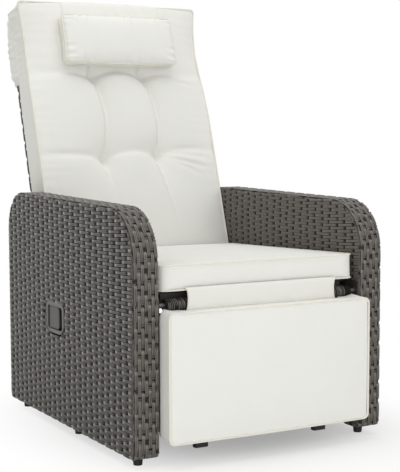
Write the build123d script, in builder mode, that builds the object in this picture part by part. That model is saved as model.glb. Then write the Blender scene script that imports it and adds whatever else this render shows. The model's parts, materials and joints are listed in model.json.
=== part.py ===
from build123d import *
from math import asin, cos, radians, sin, tan
import os

# Reclining garden armchair: two woven arms on bent tube, a cushioned seat between them, a back
# that leans down and a footrest that swings up with it. Millimetres, +Z up, the sitter faces -Y.
# The origin lies on the floor, under the middle of the whole chair.

os.makedirs("parts", exist_ok=True)

# Sizes: arms, seen from the side, and their woven skin
overall_width = 660
arm_thickness = 59
arm_depth = 760
arm_underside = 22
arm_front_top = 567
arm_rear_top = 578
arm_front_radius = 118
arm_rear_radius = 96
arm_bottom_radius = 14
weave = 6

# Sizes: clearances shared by all pieces
seat_gap = 0.3
pin_clearance = 0.05
hole_clearance = 0.2
overrun = 5

# Sizes: tube frame inside each arm
arm_tube_radius = 8
arm_tube_wall = 1.5
strut_radius = 6
post_strut_shares = (0.3, 0.7)
top_strut_shares = (0.3, 0.5, 0.7)
sill_strut_shares = (0.25, 0.6)
mount_rail_width = 20
mount_rail_height = 30
mount_rail_wall = 2

# Sizes: feet
foot_setbacks = (45, 370, 715)
foot_plate_width = 44
foot_plate_length = 40
foot_plate_thickness = 4
glide_radius = 12
glide_taper = 2
glide_stem_radius = 4

# Sizes: seat frame and the steel side plates that carry both hinges
seat_setback = 10
seat_front_height = 386
seat_tilt = 2
seat_depth = 588
side_plate_thickness = 5
side_plate_bottom = 312
side_plate_top = 380
side_plate_setback = 4
side_plate_depth = 732
side_plate_corner = 12
seat_rail_size = 25
seat_rail_wall = 1.5
seat_rail_start = 35
seat_rail_length = 615
rear_rail_start = 560
deck_side_margin = 9
bolt_setbacks = (95, 235, 500, 640)
bolt_rise = 12
bolt_radius = 4
bolt_head_radius = 6.5
bolt_head_height = 5
nut_height = 6.5

# Sizes: rear stretcher tube, low between the arms
stretcher_setback = 705
stretcher_height = 96
stretcher_radius = 12.5
stretcher_wall = 1.5
stretcher_flange_radius = 24
stretcher_flange_thickness = 4
stretcher_plug_length = 30

# Sizes: back hinge, tube frame and woven panel
back_pivot_setback = 700
back_pivot_height = 352
back_lean = 17.2
back_travel = 35
back_panel_clearance = 9
back_panel_thickness = 34
back_panel_start = 24
back_panel_top = 726
back_panel_corner = 55
back_tube_radius = 10.5
back_tube_wall = 1.5
back_rail_radius = 8
back_rail_heights = (250, 480)
pivot_tube_radius = 12.5
pivot_tube_clearance = 11
pivot_pin_radius = 6
pivot_pin_length = 28

# Sizes: footrest hinge, tube frame and woven panel
foot_pivot_setback = 18
foot_pivot_height = 356
foot_travel = 78
foot_rail_radius = 11
foot_rail_wrap = 2
foot_rail_clearance = 18
foot_panel_clearance = 4
foot_panel_thickness = 24
foot_panel_bottom = 58
foot_panel_top = 330
foot_panel_corner = 24
foot_tube_radius = 5.7
foot_tube_wall = 1.2
bumper_spread = 320
bumper_width = 33
bumper_depth = 16
bumper_bottom = 30
bumper_corner = 3

# Sizes: levers and link bars that tie the footrest to the back
lever_clearance = 61
lever_thickness = 5
lever_pin_rim = 9
lever_tube_rim = 4.5
link_gap = 1
link_thickness = 5
link_half_height = 10
link_eye_radius = 14
link_pin_radius = 4
link_head_radius = 9
link_head_height = 3
back_lever_length = 100
link_slot_slack = 3.4

# Sizes: locking gas spring under the seat, its bracket and its lever
spring_lever_length = 80
spring_plate_station = 9
spring_plate_thickness = 4
spring_pin_radius = 4
spring_tube_setback = 300
spring_tube_gap = 1.9
spring_tube_radius = 11
spring_tube_wall = 1.5
spring_base_drop = 44
spring_eye_radius = 9
spring_eye_width = 15
cylinder_radius = 11
cylinder_wall = 2
cylinder_start = 20
cylinder_length = 280
cylinder_cap = 8
rod_radius = 5
rod_inside = 100
piston_length = 8
rod_eye_radius = 10.5
rod_eye_slack = 2.3

# Sizes: release lever and cable from the side handle
release_pivot_offset = 32
release_pivot_rise = 12
release_pin_radius = 2.5
release_lever_length = 50
release_lever_thickness = 6
release_rim = 6
anchor_drop = 38
anchor_setback = 303
anchor_depth = 6
anchor_rim = 8
cable_radius = 2.5
cable_exit_back = 14
cable_exit_drop = 20
cable_route_shares = ((0, 0, 0), (0.18, 0, 0), (0.37, 0.02, 0.7), (0.56, 0.05, 1.2),
                      (0.745, 0.13, 1.4), (0.9, 0.33, 1.4), (1, 0.65, 1), (1, 1, 1))
bend_run_share = 0.45
grommet_radius = 7
grommet_flange_radius = 10
grommet_flange = 1.5

# Sizes: pull handle, a grey cup and paddle in the outer face of the left arm
cup_setback = 441
cup_height = 278.5
bezel_depth = 110
bezel_height = 77
bezel_proud = 2.5
bezel_top_radius = 16
bezel_bottom_radius = 30
cup_opening_depth = 92
cup_opening_height = 58
cup_opening_radius = 8
cup_wall = 2
cup_recess = 22
paddle_length = 57
paddle_height = 55
paddle_thickness = 4
paddle_barrel_radius = 4.5
paddle_edge_radius = 1.2
paddle_corner_radius = 10
handle_pin_radius = 1.5
handle_pin_margin = 10
leaf_thickness = 0.8
leaf_width = 12
leaf_foot = 16
leaf_reach = 22

# Sizes: cushions
cushion_edge_radius = 9
cushion_draw_in = 4
crown_end_share = 0.3
pad_stations = 4
cushion_clearance = 12
seat_cushion_thickness = 57
seat_cushion_crown = 6
back_cushion_length = 746
back_cushion_thickness = 84
back_cushion_crown = 12
tuft_spread = 154
tuft_heights = (290, 516)
tuft_radius = 34
tuft_depth = 15
crease_half_width = 16
crease_depth = 6
foot_cushion_clearance = 6.5
foot_cushion_bottom = 57
foot_cushion_length = 287
foot_cushion_thickness = 42
foot_cushion_crown = 11
hood_bottom = 546
hood_cover = 10
hood_top_cover = 24
hood_radius = 20
pillow_width = 330
pillow_length = 140
pillow_start = 556
pillow_thickness = 34
pillow_crown = 14
pillow_edge_radius = 10
pillow_flap_width = 266
pillow_flap_thickness = 3
seat_flap_clearance = 5
seat_flap_thickness = 3
seat_flap_drop = 41

# Places worked out from the sizes: across the chair
half_width = overall_width / 2
arm_inner_face = half_width - arm_thickness
plate_inner_face = arm_inner_face - side_plate_thickness
rail_inner_face = plate_inner_face - seat_rail_size
hoop_inset = weave + 2 * seat_gap + arm_tube_radius
outer_hoop_x = half_width - hoop_inset
inner_hoop_x = arm_inner_face + hoop_inset
mount_rail_x = arm_inner_face + weave + seat_gap + mount_rail_width / 2
lever_station = plate_inner_face - lever_clearance
link_station = lever_station + lever_thickness + link_gap
pivot_tube_length = 2 * (plate_inner_face - pivot_tube_clearance)
foot_rail_length = 2 * (plate_inner_face - foot_rail_clearance)
back_panel_width = 2 * (plate_inner_face - back_panel_clearance)
foot_panel_width = 2 * (plate_inner_face - foot_panel_clearance)
cushion_width = 2 * (arm_inner_face - cushion_clearance)
foot_cushion_width = 2 * (arm_inner_face - foot_cushion_clearance)
seat_flap_width = 2 * (lever_station - seat_flap_clearance)

# Places worked out from the sizes: along the chair, from the rearmost point of the leaning hood
lean = radians(back_lean)
hood_rear = back_panel_thickness / 2 + seat_gap + hood_cover
hood_top = back_panel_top + hood_top_cover
hood_reach = ((hood_top - hood_radius) * sin(lean)
              + (hood_rear - hood_radius) * cos(lean) + hood_radius)
foot_cushion_proud = seat_gap + foot_cushion_thickness + foot_cushion_crown
whole_depth = foot_cushion_proud + back_pivot_setback + hood_reach
front_y = foot_cushion_proud - whole_depth / 2
rear_y = front_y + arm_depth
back_pivot = (front_y + back_pivot_setback, back_pivot_height)
foot_pivot = (front_y + foot_pivot_setback, foot_pivot_height)
stretcher_centre = (front_y + stretcher_setback, stretcher_height)

bolt_height = side_plate_bottom + bolt_rise
foot_rail_front = foot_pivot[0] - foot_rail_radius - foot_rail_wrap

# Places worked out from the sizes: arm frame heights
plate_top = arm_underside + weave + foot_plate_thickness
sill_z = plate_top + seat_gap + arm_tube_radius
arm_slope = (arm_rear_top - arm_front_top) / arm_depth
front_post_y = front_y + hoop_inset
rear_post_y = rear_y - hoop_inset
front_rail_z = arm_front_top - hoop_inset + arm_slope * hoop_inset
rear_rail_z = arm_rear_top - hoop_inset - arm_slope * hoop_inset
post_top = arm_front_top - arm_front_radius

# Places worked out from the sizes: the linkage, whose levers swing evenly about straight down
half_back = radians(back_travel / 2)
half_foot = radians(foot_travel / 2)
foot_lever_length = back_lever_length * sin(half_back) / sin(half_foot)
link_rear = (back_pivot[0] + back_lever_length * sin(half_back),
             back_pivot[1] - back_lever_length * cos(half_back))
link_front = (foot_pivot[0] + foot_lever_length * sin(half_foot),
              foot_pivot[1] - foot_lever_length * cos(half_foot))
link_slot_shift = (foot_lever_length * (1 - cos(half_foot))
                   - back_lever_length * (1 - cos(half_back))) / 2
link_slot_centre = (link_front[0], link_front[1] - link_slot_shift)

# Places worked out from the sizes: the gas spring, from its base pin to its lever pin
seat_fall = tan(radians(seat_tilt))
seat_rail_drop = (weave + seat_rail_size) / cos(radians(seat_tilt))
spring_tube_height = (seat_front_height - (spring_tube_setback - seat_setback) * seat_fall
                      - seat_rail_drop - spring_tube_gap - spring_tube_radius)
spring_base_height = spring_tube_height - spring_base_drop
anchor_height = spring_base_height - anchor_drop
spring_base = (front_y + spring_tube_setback, spring_base_height)
spring_tube_centre = (front_y + spring_tube_setback, spring_tube_height)
spring_end = (back_pivot[0], back_pivot[1] - spring_lever_length)
spring_length = ((spring_end[0] - spring_base[0]) ** 2 + (spring_end[1] - spring_base[1]) ** 2) ** 0.5
spring_fall = asin((spring_base[1] - spring_end[1]) / spring_length)
cylinder_end = cylinder_start + cylinder_length
release_pivot = (spring_base[0] - release_pivot_offset, spring_base[1] + release_pivot_rise)
anchor_centre = (front_y + anchor_setback, anchor_height)

# Places worked out from the sizes: the handle
cup_y = front_y + cup_setback
cup_floor_x = -half_width + cup_recess
paddle_pin_y = cup_y + cup_opening_depth / 2 - handle_pin_margin
paddle_face_x = -half_width
paddle_pin_x = paddle_face_x + paddle_barrel_radius
cable_start = (cup_floor_x + cup_wall, cup_y + cable_exit_back, cup_height - cable_exit_drop)

# Planes: the tilted seat, the leaning back and the upright footrest
seat_plane = Plane(origin=(0, front_y + seat_setback, seat_front_height), x_dir=(1, 0, 0),
                   z_dir=(0, sin(radians(seat_tilt)), cos(radians(seat_tilt))))
back_plane = Plane(origin=(0, *back_pivot), x_dir=(1, 0, 0), z_dir=(0, -cos(lean), sin(lean)))
foot_plane = Plane(origin=(0, front_y - seat_gap, foot_cushion_bottom), x_dir=(1, 0, 0),
                   z_dir=(0, -1, 0))
spring_axis = Plane(origin=(0, *spring_base), x_dir=(1, 0, 0),
                    z_dir=(0, cos(spring_fall), -sin(spring_fall)))


def tube(plane, radius, wall, length):
    """A round tube from a plane, along its normal."""
    with BuildSketch(plane) as ring:
        Circle(radius)
        Circle(radius - wall, mode=Mode.SUBTRACT)
    extrude(ring.sketch, amount=length)


def bar(plane, radius, length, mode=Mode.ADD):
    """A round bar, or with mode a hole, from a plane along its normal."""
    with BuildSketch(plane) as disc:
        Circle(radius)
    extrude(disc.sketch, amount=length, mode=mode)


def box_tube(plane, width, height, wall, length):
    """A rectangular tube from a plane, along its normal."""
    with BuildSketch(plane) as ring:
        Rectangle(width, height)
        Rectangle(width - 2 * wall, height - 2 * wall, mode=Mode.SUBTRACT)
    extrude(ring.sketch, amount=length)


def across(x, centre):
    """The plane at x that looks along +X, centred on a (y, z) place."""
    return Plane(origin=(x, *centre), x_dir=(0, 1, 0), z_dir=(1, 0, 0))


def bent_tube(plane, points, radii, radius, wall):
    """A tube along straight runs joined by arcs, drawn as points on a plane."""
    with BuildLine(plane) as path:
        FilletPolyline(*points, radius=radii)
    with BuildSketch(Plane(origin=path.line @ 0, z_dir=path.line % 0)) as ring:
        Circle(radius)
        Circle(radius - wall, mode=Mode.SUBTRACT)
    sweep(ring.sketch, path=path.line)


def cord_bends(points):
    """The radius of each bend along a cord, as large as its two runs allow."""
    bends = []
    for before, corner, after in zip(points, points[1:], points[2:]):
        run_in = Vector(*corner) - Vector(*before)
        run_out = Vector(*after) - Vector(*corner)
        half_turn = radians(run_in.get_angle(run_out)) / 2
        bends.append(bend_run_share * min(run_in.length, run_out.length) / tan(half_turn))
    return bends


def flat_link(x, thickness, rims, holes):
    """A flat plate from x along +X around (y, z, radius) rims, with (y, z, radius) holes."""
    with BuildSketch(Plane.YZ.offset(x)) as outline:
        for rim_y, rim_z, rim_radius in rims:
            with Locations((rim_y, rim_z)):
                Circle(rim_radius)
        make_hull()
        for hole_y, hole_z, hole_radius in holes:
            with Locations((hole_y, hole_z)):
                Circle(hole_radius, mode=Mode.SUBTRACT)
    extrude(outline.sketch, amount=thickness)


def bow(share):
    """How far along its bulge, from 0 to 1, a cushion is at a share of its length."""
    return 1 - (2 * share - 1) ** 2


def crown_rise(crown, share):
    """The height of a cushion's crown at a share of its length."""
    return crown * (crown_end_share + (1 - crown_end_share) * bow(share))


def pad(base, width, length, thickness, crown):
    """A sewn cushion on its base plane: flat underneath, crowned on top, its sides drawn in."""
    sections = []
    for station in range(pad_stations + 1):
        share = station / pad_stations
        half = width / 2 - cushion_draw_in * bow(share)
        rise = crown_rise(crown, share)
        origin = base.from_local_coords(Vector(0, share * length, 0))
        with BuildSketch(Plane(origin=origin, x_dir=base.x_dir, z_dir=-base.y_dir)) as outline:
            with BuildLine():
                Line((-half, 0), (half, 0))
                Line((half, 0), (half, thickness))
                ThreePointArc((half, thickness), (0, thickness + rise), (-half, thickness))
                Line((-half, thickness), (-half, 0))
            make_face()
        sections.append(outline.sketch)
    loft(sections)


def arm_outline(plane, inset=0):
    """The side outline of an arm, drawn in by inset, on a plane that looks along X."""
    with BuildSketch(plane) as outline:
        with BuildLine():
            FilletPolyline((front_y, arm_underside), (front_y, arm_front_top),
                           (rear_y, arm_rear_top), (rear_y, arm_underside), close=True,
                           radius=(arm_bottom_radius, arm_front_radius,
                                   arm_rear_radius, arm_bottom_radius))
        make_face()
        if inset:
            offset(amount=-inset, mode=Mode.REPLACE)
    return outline.sketch


# Arms: woven skin, bent hoops, cross struts and the rail that the seat bolts to
for side, side_name in ((-1, "left"), (1, "right")):
    with BuildPart() as arm_weave:
        extrude(arm_outline(Plane.YZ.offset(side * half_width)), amount=-side * arm_thickness)
        extrude(arm_outline(Plane.YZ.offset(side * (half_width - weave)), weave),
                amount=-side * (arm_thickness - 2 * weave), mode=Mode.SUBTRACT)
        for setback in foot_setbacks:
            stem_place = (side * (half_width - arm_thickness / 2), front_y + setback,
                          arm_underside - overrun)
            bar(Plane(origin=stem_place), glide_stem_radius + hole_clearance,
                weave + 2 * overrun, Mode.SUBTRACT)
        for setback in bolt_setbacks:
            bar(across(side * arm_inner_face, (front_y + setback, bolt_height)).offset(-overrun),
                bolt_radius + hole_clearance, 2 * overrun, Mode.SUBTRACT)
            bar(across(side * (arm_inner_face + weave), (front_y + setback, bolt_height))
                .offset(-overrun), bolt_radius + hole_clearance, 2 * overrun, Mode.SUBTRACT)
        bar(across(side * (arm_inner_face + weave / 2), stretcher_centre).offset(-overrun),
            bolt_radius + hole_clearance, 2 * overrun, Mode.SUBTRACT)
        if side < 0:
            with BuildSketch(Plane.YZ.offset(-half_width - overrun)) as cup_hole:
                with Locations((cup_y, cup_height)):
                    RectangleRounded(cup_opening_depth + 2 * cup_wall + 2 * seat_gap,
                                     cup_opening_height + 2 * cup_wall + 2 * seat_gap,
                                     cup_opening_radius + cup_wall)
            extrude(cup_hole.sketch, amount=overrun + weave + seat_gap, mode=Mode.SUBTRACT)
            bar(across(-arm_inner_face - weave - overrun, cable_start[1:]),
                grommet_radius, weave + 2 * overrun, Mode.SUBTRACT)
    arm_weave.part.label = f"{side_name}_arm_weave"
    export_step(arm_weave.part, f"parts/{side_name}_arm_weave.step")

    with BuildPart() as arm_hoops:
        for hoop_x in (side * outer_hoop_x, side * inner_hoop_x):
            bent_tube(Plane.YZ.offset(hoop_x),
                      [(front_post_y, plate_top + seat_gap), (front_post_y, front_rail_z),
                       (rear_post_y, rear_rail_z), (rear_post_y, plate_top + seat_gap)],
                      (arm_front_radius - hoop_inset, arm_rear_radius - hoop_inset),
                      arm_tube_radius, arm_tube_wall)
    arm_hoops.part.label = f"{side_name}_arm_hoops"
    export_step(arm_hoops.part, f"parts/{side_name}_arm_hoops.step")

    strut_start = inner_hoop_x + arm_tube_radius + seat_gap
    strut_length = outer_hoop_x - inner_hoop_x - 2 * (arm_tube_radius + seat_gap)
    sill_start = front_post_y + arm_tube_radius + seat_gap
    sill_length = rear_post_y - front_post_y - 2 * (arm_tube_radius + seat_gap)
    post_length = post_top - plate_top
    with BuildPart() as arm_struts:
        for share in post_strut_shares:
            for post_y in (front_post_y, rear_post_y):
                bar(across(side * strut_start, (post_y, plate_top + share * post_length)),
                    strut_radius, side * strut_length)
        for share in top_strut_shares:
            place = (front_post_y + share * (rear_post_y - front_post_y),
                     front_rail_z + share * (rear_rail_z - front_rail_z))
            bar(across(side * strut_start, place), strut_radius, side * strut_length)
        for share in sill_strut_shares:
            bar(across(side * strut_start, (sill_start + share * sill_length, sill_z)),
                strut_radius, side * strut_length)
        for hoop_x in (side * outer_hoop_x, side * inner_hoop_x):
            tube(Plane(origin=(hoop_x, sill_start, sill_z), x_dir=(1, 0, 0), z_dir=(0, 1, 0)),
                 arm_tube_radius, arm_tube_wall, sill_length)
    arm_struts.part.label = f"{side_name}_arm_struts"
    export_step(arm_struts.part, f"parts/{side_name}_arm_struts.step")

    with BuildPart() as side_plate:
        with BuildSketch(Plane.YZ.offset(side * plate_inner_face)) as plate_outline:
            with Locations((front_y + side_plate_setback + side_plate_depth / 2,
                            (side_plate_bottom + side_plate_top) / 2)):
                RectangleRounded(side_plate_depth, side_plate_top - side_plate_bottom,
                                 side_plate_corner)
            with Locations(back_pivot, foot_pivot):
                Circle(pivot_pin_radius + pin_clearance, mode=Mode.SUBTRACT)
            for setback in bolt_setbacks:
                with Locations((front_y + setback, bolt_height)):
                    Circle(bolt_radius + hole_clearance, mode=Mode.SUBTRACT)
        extrude(plate_outline.sketch, amount=side * side_plate_thickness)
    side_plate.part.label = f"{side_name}_side_plate"
    export_step(side_plate.part, f"parts/{side_name}_side_plate.step")

with BuildPart() as arm_mount_rails:
    for side in (-1, 1):
        box_tube(Plane(origin=(side * mount_rail_x, sill_start, bolt_height),
                       x_dir=(1, 0, 0), z_dir=(0, 1, 0)),
                 mount_rail_width, mount_rail_height, mount_rail_wall, sill_length)
        for setback in bolt_setbacks:
            bar(across(side * mount_rail_x, (front_y + setback, bolt_height))
                .offset(-mount_rail_width), bolt_radius + hole_clearance,
                2 * mount_rail_width, Mode.SUBTRACT)
arm_mount_rails.part.label = "arm_mount_rails"
export_step(arm_mount_rails.part, "parts/arm_mount_rails.step")

# Feet: a drilled plate on the floor of each arm and a black glide pressed up into it
with BuildPart() as foot_plates:
    for side in (-1, 1):
        for setback in foot_setbacks:
            place = (side * (half_width - arm_thickness / 2), front_y + setback,
                     arm_underside + weave)
            with BuildSketch(Plane(origin=place)) as plate_face:
                Rectangle(foot_plate_width, foot_plate_length)
                Circle(glide_stem_radius + pin_clearance, mode=Mode.SUBTRACT)
            extrude(plate_face.sketch, amount=foot_plate_thickness)
foot_plates.part.label = "foot_plates"
export_step(foot_plates.part, "parts/foot_plates.step")

with BuildPart() as foot_glides:
    for side in (-1, 1):
        for setback in foot_setbacks:
            place = Vector(side * (half_width - arm_thickness / 2), front_y + setback, 0)
            with BuildSketch(Plane(origin=place)) as sole:
                Circle(glide_radius - glide_taper)
            with BuildSketch(Plane(origin=place + Vector(0, 0, arm_underside))) as shoulder:
                Circle(glide_radius)
            loft([sole.sketch, shoulder.sketch])
            bar(Plane(origin=place + Vector(0, 0, arm_underside)), glide_stem_radius,
                weave + foot_plate_thickness)
foot_glides.part.label = "foot_glides"
export_step(foot_glides.part, "parts/foot_glides.step")

# Seat frame: side rails against the side plates, front and rear rails, woven deck
rail_drop = weave + seat_rail_size / 2
with BuildPart() as seat_side_rails:
    for side in (-1, 1):
        start = seat_plane.from_local_coords(
            Vector(side * (plate_inner_face - seat_rail_size / 2), seat_rail_start, -rail_drop))
        box_tube(Plane(origin=start, x_dir=(1, 0, 0), z_dir=seat_plane.y_dir),
                 seat_rail_size, seat_rail_size, seat_rail_wall, seat_rail_length)
seat_side_rails.part.label = "seat_side_rails"
export_step(seat_side_rails.part, "parts/seat_side_rails.step")

cross_rail_half = rail_inner_face - seat_gap
with BuildPart() as seat_front_rail:
    start = seat_plane.from_local_coords(
        Vector(-cross_rail_half, seat_rail_start + seat_rail_size / 2, -rail_drop))
    box_tube(Plane(origin=start, x_dir=seat_plane.y_dir, z_dir=(1, 0, 0)),
             seat_rail_size, seat_rail_size, seat_rail_wall, 2 * cross_rail_half)
seat_front_rail.part.label = "seat_front_rail"
export_step(seat_front_rail.part, "parts/seat_front_rail.step")

with BuildPart() as seat_rear_rail:
    start = seat_plane.from_local_coords(
        Vector(-cross_rail_half, rear_rail_start + seat_rail_size / 2, -rail_drop))
    box_tube(Plane(origin=start, x_dir=seat_plane.y_dir, z_dir=(1, 0, 0)),
             seat_rail_size, seat_rail_size, seat_rail_wall, 2 * cross_rail_half)
seat_rear_rail.part.label = "seat_rear_rail"
export_step(seat_rear_rail.part, "parts/seat_rear_rail.step")

deck_depth = rear_rail_start + seat_rail_size - seat_rail_start
with BuildPart() as seat_deck:
    with BuildSketch(seat_plane) as deck_face:
        with Locations((0, seat_rail_start + deck_depth / 2)):
            Rectangle(2 * (arm_inner_face - deck_side_margin), deck_depth)
    extrude(deck_face.sketch, amount=-weave)
seat_deck.part.label = "seat_deck"
export_step(seat_deck.part, "parts/seat_deck.step")

# Bolts: through each side plate into the arm, and through each arm into the stretcher
bolt_reach = side_plate_thickness + weave + seat_gap + mount_rail_width
with BuildPart() as frame_bolts:
    for side in (-1, 1):
        for setback in bolt_setbacks:
            place = (front_y + setback, bolt_height)
            bar(across(side * plate_inner_face, place), bolt_radius,
                side * (bolt_reach + nut_height))
            with BuildSketch(across(side * plate_inner_face, place)) as head:
                RegularPolygon(bolt_head_radius, 6)
            extrude(head.sketch, amount=-side * bolt_head_height)
        bar(across(side * (arm_inner_face + weave), stretcher_centre), bolt_radius,
            -side * (weave + stretcher_plug_length / 2))
        with BuildSketch(across(side * (arm_inner_face + weave), stretcher_centre)) as head:
            RegularPolygon(bolt_head_radius, 6)
        extrude(head.sketch, amount=side * bolt_head_height)
frame_bolts.part.label = "frame_bolts"
export_step(frame_bolts.part, "parts/frame_bolts.step")

with BuildPart() as frame_nuts:
    for side in (-1, 1):
        for setback in bolt_setbacks:
            seat_x = side * (arm_inner_face + bolt_reach - side_plate_thickness)
            with BuildSketch(across(seat_x, (front_y + setback, bolt_height))) as nut_face:
                RegularPolygon(bolt_head_radius, 6)
                Circle(bolt_radius + pin_clearance, mode=Mode.SUBTRACT)
            extrude(nut_face.sketch, amount=side * nut_height)
frame_nuts.part.label = "frame_nuts"
export_step(frame_nuts.part, "parts/frame_nuts.step")

# Rear stretcher: a tube with end flanges and threaded plugs
with BuildPart() as rear_stretcher:
    tube(across(-arm_inner_face, stretcher_centre), stretcher_radius, stretcher_wall,
         2 * arm_inner_face)
    for side in (-1, 1):
        end = across(side * arm_inner_face, stretcher_centre)
        bar(end, stretcher_radius - stretcher_wall, -side * stretcher_plug_length)
        bar(end, stretcher_flange_radius, -side * stretcher_flange_thickness)
        bar(end.offset(side * overrun), bolt_radius + pin_clearance,
            -side * (stretcher_plug_length + 2 * overrun), Mode.SUBTRACT)
rear_stretcher.part.label = "rear_stretcher"
export_step(rear_stretcher.part, "parts/rear_stretcher.step")

# Handle: cup with bezel, paddle on a vertical pin, leaf spring
cup_plane = Plane.YZ.offset(-half_width)
with BuildPart() as handle_cup:
    with BuildSketch(cup_plane) as bezel:
        with Locations((cup_y, cup_height)):
            Rectangle(bezel_depth, bezel_height)
        fillet(bezel.vertices().group_by(Axis.Y)[-1], bezel_top_radius)
        fillet(bezel.vertices().group_by(Axis.Y)[0], bezel_bottom_radius)
    extrude(bezel.sketch, amount=-bezel_proud)
    fillet(handle_cup.faces().sort_by(Axis.X)[0].edges(), bezel_proud / 2)
    with BuildSketch(cup_plane) as cup_wall_face:
        with Locations((cup_y, cup_height)):
            RectangleRounded(cup_opening_depth + 2 * cup_wall, cup_opening_height + 2 * cup_wall,
                             cup_opening_radius + cup_wall)
    extrude(cup_wall_face.sketch, amount=cup_recess + cup_wall)
    with BuildSketch(Plane.YZ.offset(cup_floor_x)) as pocket:
        with Locations((cup_y, cup_height)):
            RectangleRounded(cup_opening_depth, cup_opening_height, cup_opening_radius)
    extrude(pocket.sketch, amount=-(cup_recess + bezel_proud + overrun), mode=Mode.SUBTRACT)
    pin_low = (paddle_pin_x, paddle_pin_y, cup_height - cup_opening_height / 2 - cup_wall)
    bar(Plane(origin=pin_low), handle_pin_radius + pin_clearance,
        cup_opening_height + 2 * cup_wall, Mode.SUBTRACT)
    bar(across(cup_floor_x - overrun, cable_start[1:]), cable_radius / 2,
        cup_wall + 2 * overrun, Mode.SUBTRACT)
handle_cup.part.label = "handle_cup"
export_step(handle_cup.part, "parts/handle_cup.step")

with BuildPart() as handle_paddle:
    with BuildSketch(Plane.YZ.offset(paddle_face_x + paddle_thickness)) as paddle_plan:
        with Locations((paddle_pin_y - paddle_length / 2, cup_height)):
            Rectangle(paddle_length, paddle_height)
        fillet(paddle_plan.vertices().group_by(Axis.X)[0], paddle_corner_radius)
    extrude(paddle_plan.sketch, amount=-paddle_thickness)
    fillet(handle_paddle.faces().sort_by(Axis.X)[0].edges(), paddle_edge_radius)
    bar(Plane(origin=(paddle_pin_x, paddle_pin_y, cup_height - paddle_height / 2)),
        paddle_barrel_radius, paddle_height)
    bar(Plane(origin=(paddle_pin_x, paddle_pin_y, cup_height - paddle_height)),
        handle_pin_radius + pin_clearance, 2 * paddle_height, Mode.SUBTRACT)
handle_paddle.part.label = "handle_paddle"
export_step(handle_paddle.part, "parts/handle_paddle.step")

with BuildPart() as handle_pin:
    bar(Plane(origin=pin_low), handle_pin_radius, cup_opening_height + 2 * cup_wall)
handle_pin.part.label = "handle_pin"
export_step(handle_pin.part, "parts/handle_pin.step")

leaf_tip_x = paddle_face_x + paddle_thickness + seat_gap
leaf_bend_y = paddle_pin_y - leaf_foot
with BuildPart() as handle_leaf_spring:
    with BuildSketch(Plane(origin=(0, 0, cup_height - leaf_width / 2))) as leaf:
        with BuildLine():
            Polyline((cup_floor_x, paddle_pin_y), (cup_floor_x, leaf_bend_y),
                     (leaf_tip_x, leaf_bend_y - leaf_reach),
                     (leaf_tip_x + leaf_thickness, leaf_bend_y - leaf_reach),
                     (cup_floor_x - leaf_thickness, leaf_bend_y + leaf_thickness),
                     (cup_floor_x - leaf_thickness, paddle_pin_y), close=True)
        make_face()
    extrude(leaf.sketch, amount=leaf_width)
handle_leaf_spring.part.label = "handle_leaf_spring"
export_step(handle_leaf_spring.part, "parts/handle_leaf_spring.step")

# Release cable: from the back of the cup, through the arm, to the anchor under the seat
cable_end = (0, anchor_centre[0] + anchor_depth / 2, anchor_height)
cable_points = [tuple(start + share * (end - start)
                      for start, end, share in zip(cable_start, cable_end, shares))
                for shares in cable_route_shares]
cable_bends = cord_bends(cable_points)
print("release cable bend radii", [round(bend) for bend in cable_bends])
with BuildPart() as release_cable:
    with BuildLine() as cable_path:
        FilletPolyline(*cable_points, radius=cable_bends)
    with BuildSketch(Plane(origin=cable_path.line @ 0, z_dir=cable_path.line % 0)) as cable_ring:
        Circle(cable_radius)
    sweep(cable_ring.sketch, path=cable_path.line)
release_cable.part.label = "release_cable"
export_step(release_cable.part, "parts/release_cable.step")

with BuildPart() as cable_grommet:
    bar(across(-arm_inner_face - weave, cable_start[1:]), grommet_radius - seat_gap / 2, weave)
    bar(across(-arm_inner_face, cable_start[1:]), grommet_flange_radius, grommet_flange)
    bar(across(-arm_inner_face - weave - overrun, cable_start[1:]), cable_radius + hole_clearance,
        weave + 2 * overrun, Mode.SUBTRACT)
cable_grommet.part.label = "cable_grommet"
export_step(cable_grommet.part, "parts/cable_grommet.step")

# Gas spring base: cross tube, hanging bracket, pins, cable anchor and release lever
with BuildPart() as spring_cross_tube:
    tube(across(-plate_inner_face + seat_gap, spring_tube_centre), spring_tube_radius,
         spring_tube_wall, 2 * (plate_inner_face - seat_gap))
spring_cross_tube.part.label = "spring_cross_tube"
export_step(spring_cross_tube.part, "parts/spring_cross_tube.step")

with BuildPart() as spring_bracket:
    for side in (-1, 1):
        flat_link(side * spring_plate_station, side * spring_plate_thickness,
                  [(*spring_tube_centre, spring_tube_radius + lever_tube_rim),
                   (*release_pivot, release_rim), (*anchor_centre, anchor_rim)],
                  [(*spring_tube_centre, spring_tube_radius + seat_gap),
                   (*spring_base, spring_pin_radius + pin_clearance),
                   (*release_pivot, release_pin_radius + pin_clearance)])
spring_bracket.part.label = "spring_bracket"
export_step(spring_bracket.part, "parts/spring_bracket.step")

bracket_outer = spring_plate_station + spring_plate_thickness
with BuildPart() as bracket_pins:
    bar(across(-bracket_outer, spring_base), spring_pin_radius, 2 * bracket_outer)
    bar(across(-bracket_outer, release_pivot), release_pin_radius, 2 * bracket_outer)
bracket_pins.part.label = "bracket_pins"
export_step(bracket_pins.part, "parts/bracket_pins.step")

with BuildPart() as cable_anchor:
    anchor_face = (0, anchor_centre[0] - anchor_depth / 2, anchor_height)
    with BuildSketch(Plane(origin=anchor_face, x_dir=(1, 0, 0), z_dir=(0, 1, 0))) as anchor_block:
        Rectangle(2 * (spring_plate_station - seat_gap), anchor_rim)
        Circle(cable_radius / 2, mode=Mode.SUBTRACT)
    extrude(anchor_block.sketch, amount=anchor_depth)
cable_anchor.part.label = "cable_anchor"
export_step(cable_anchor.part, "parts/cable_anchor.step")

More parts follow.
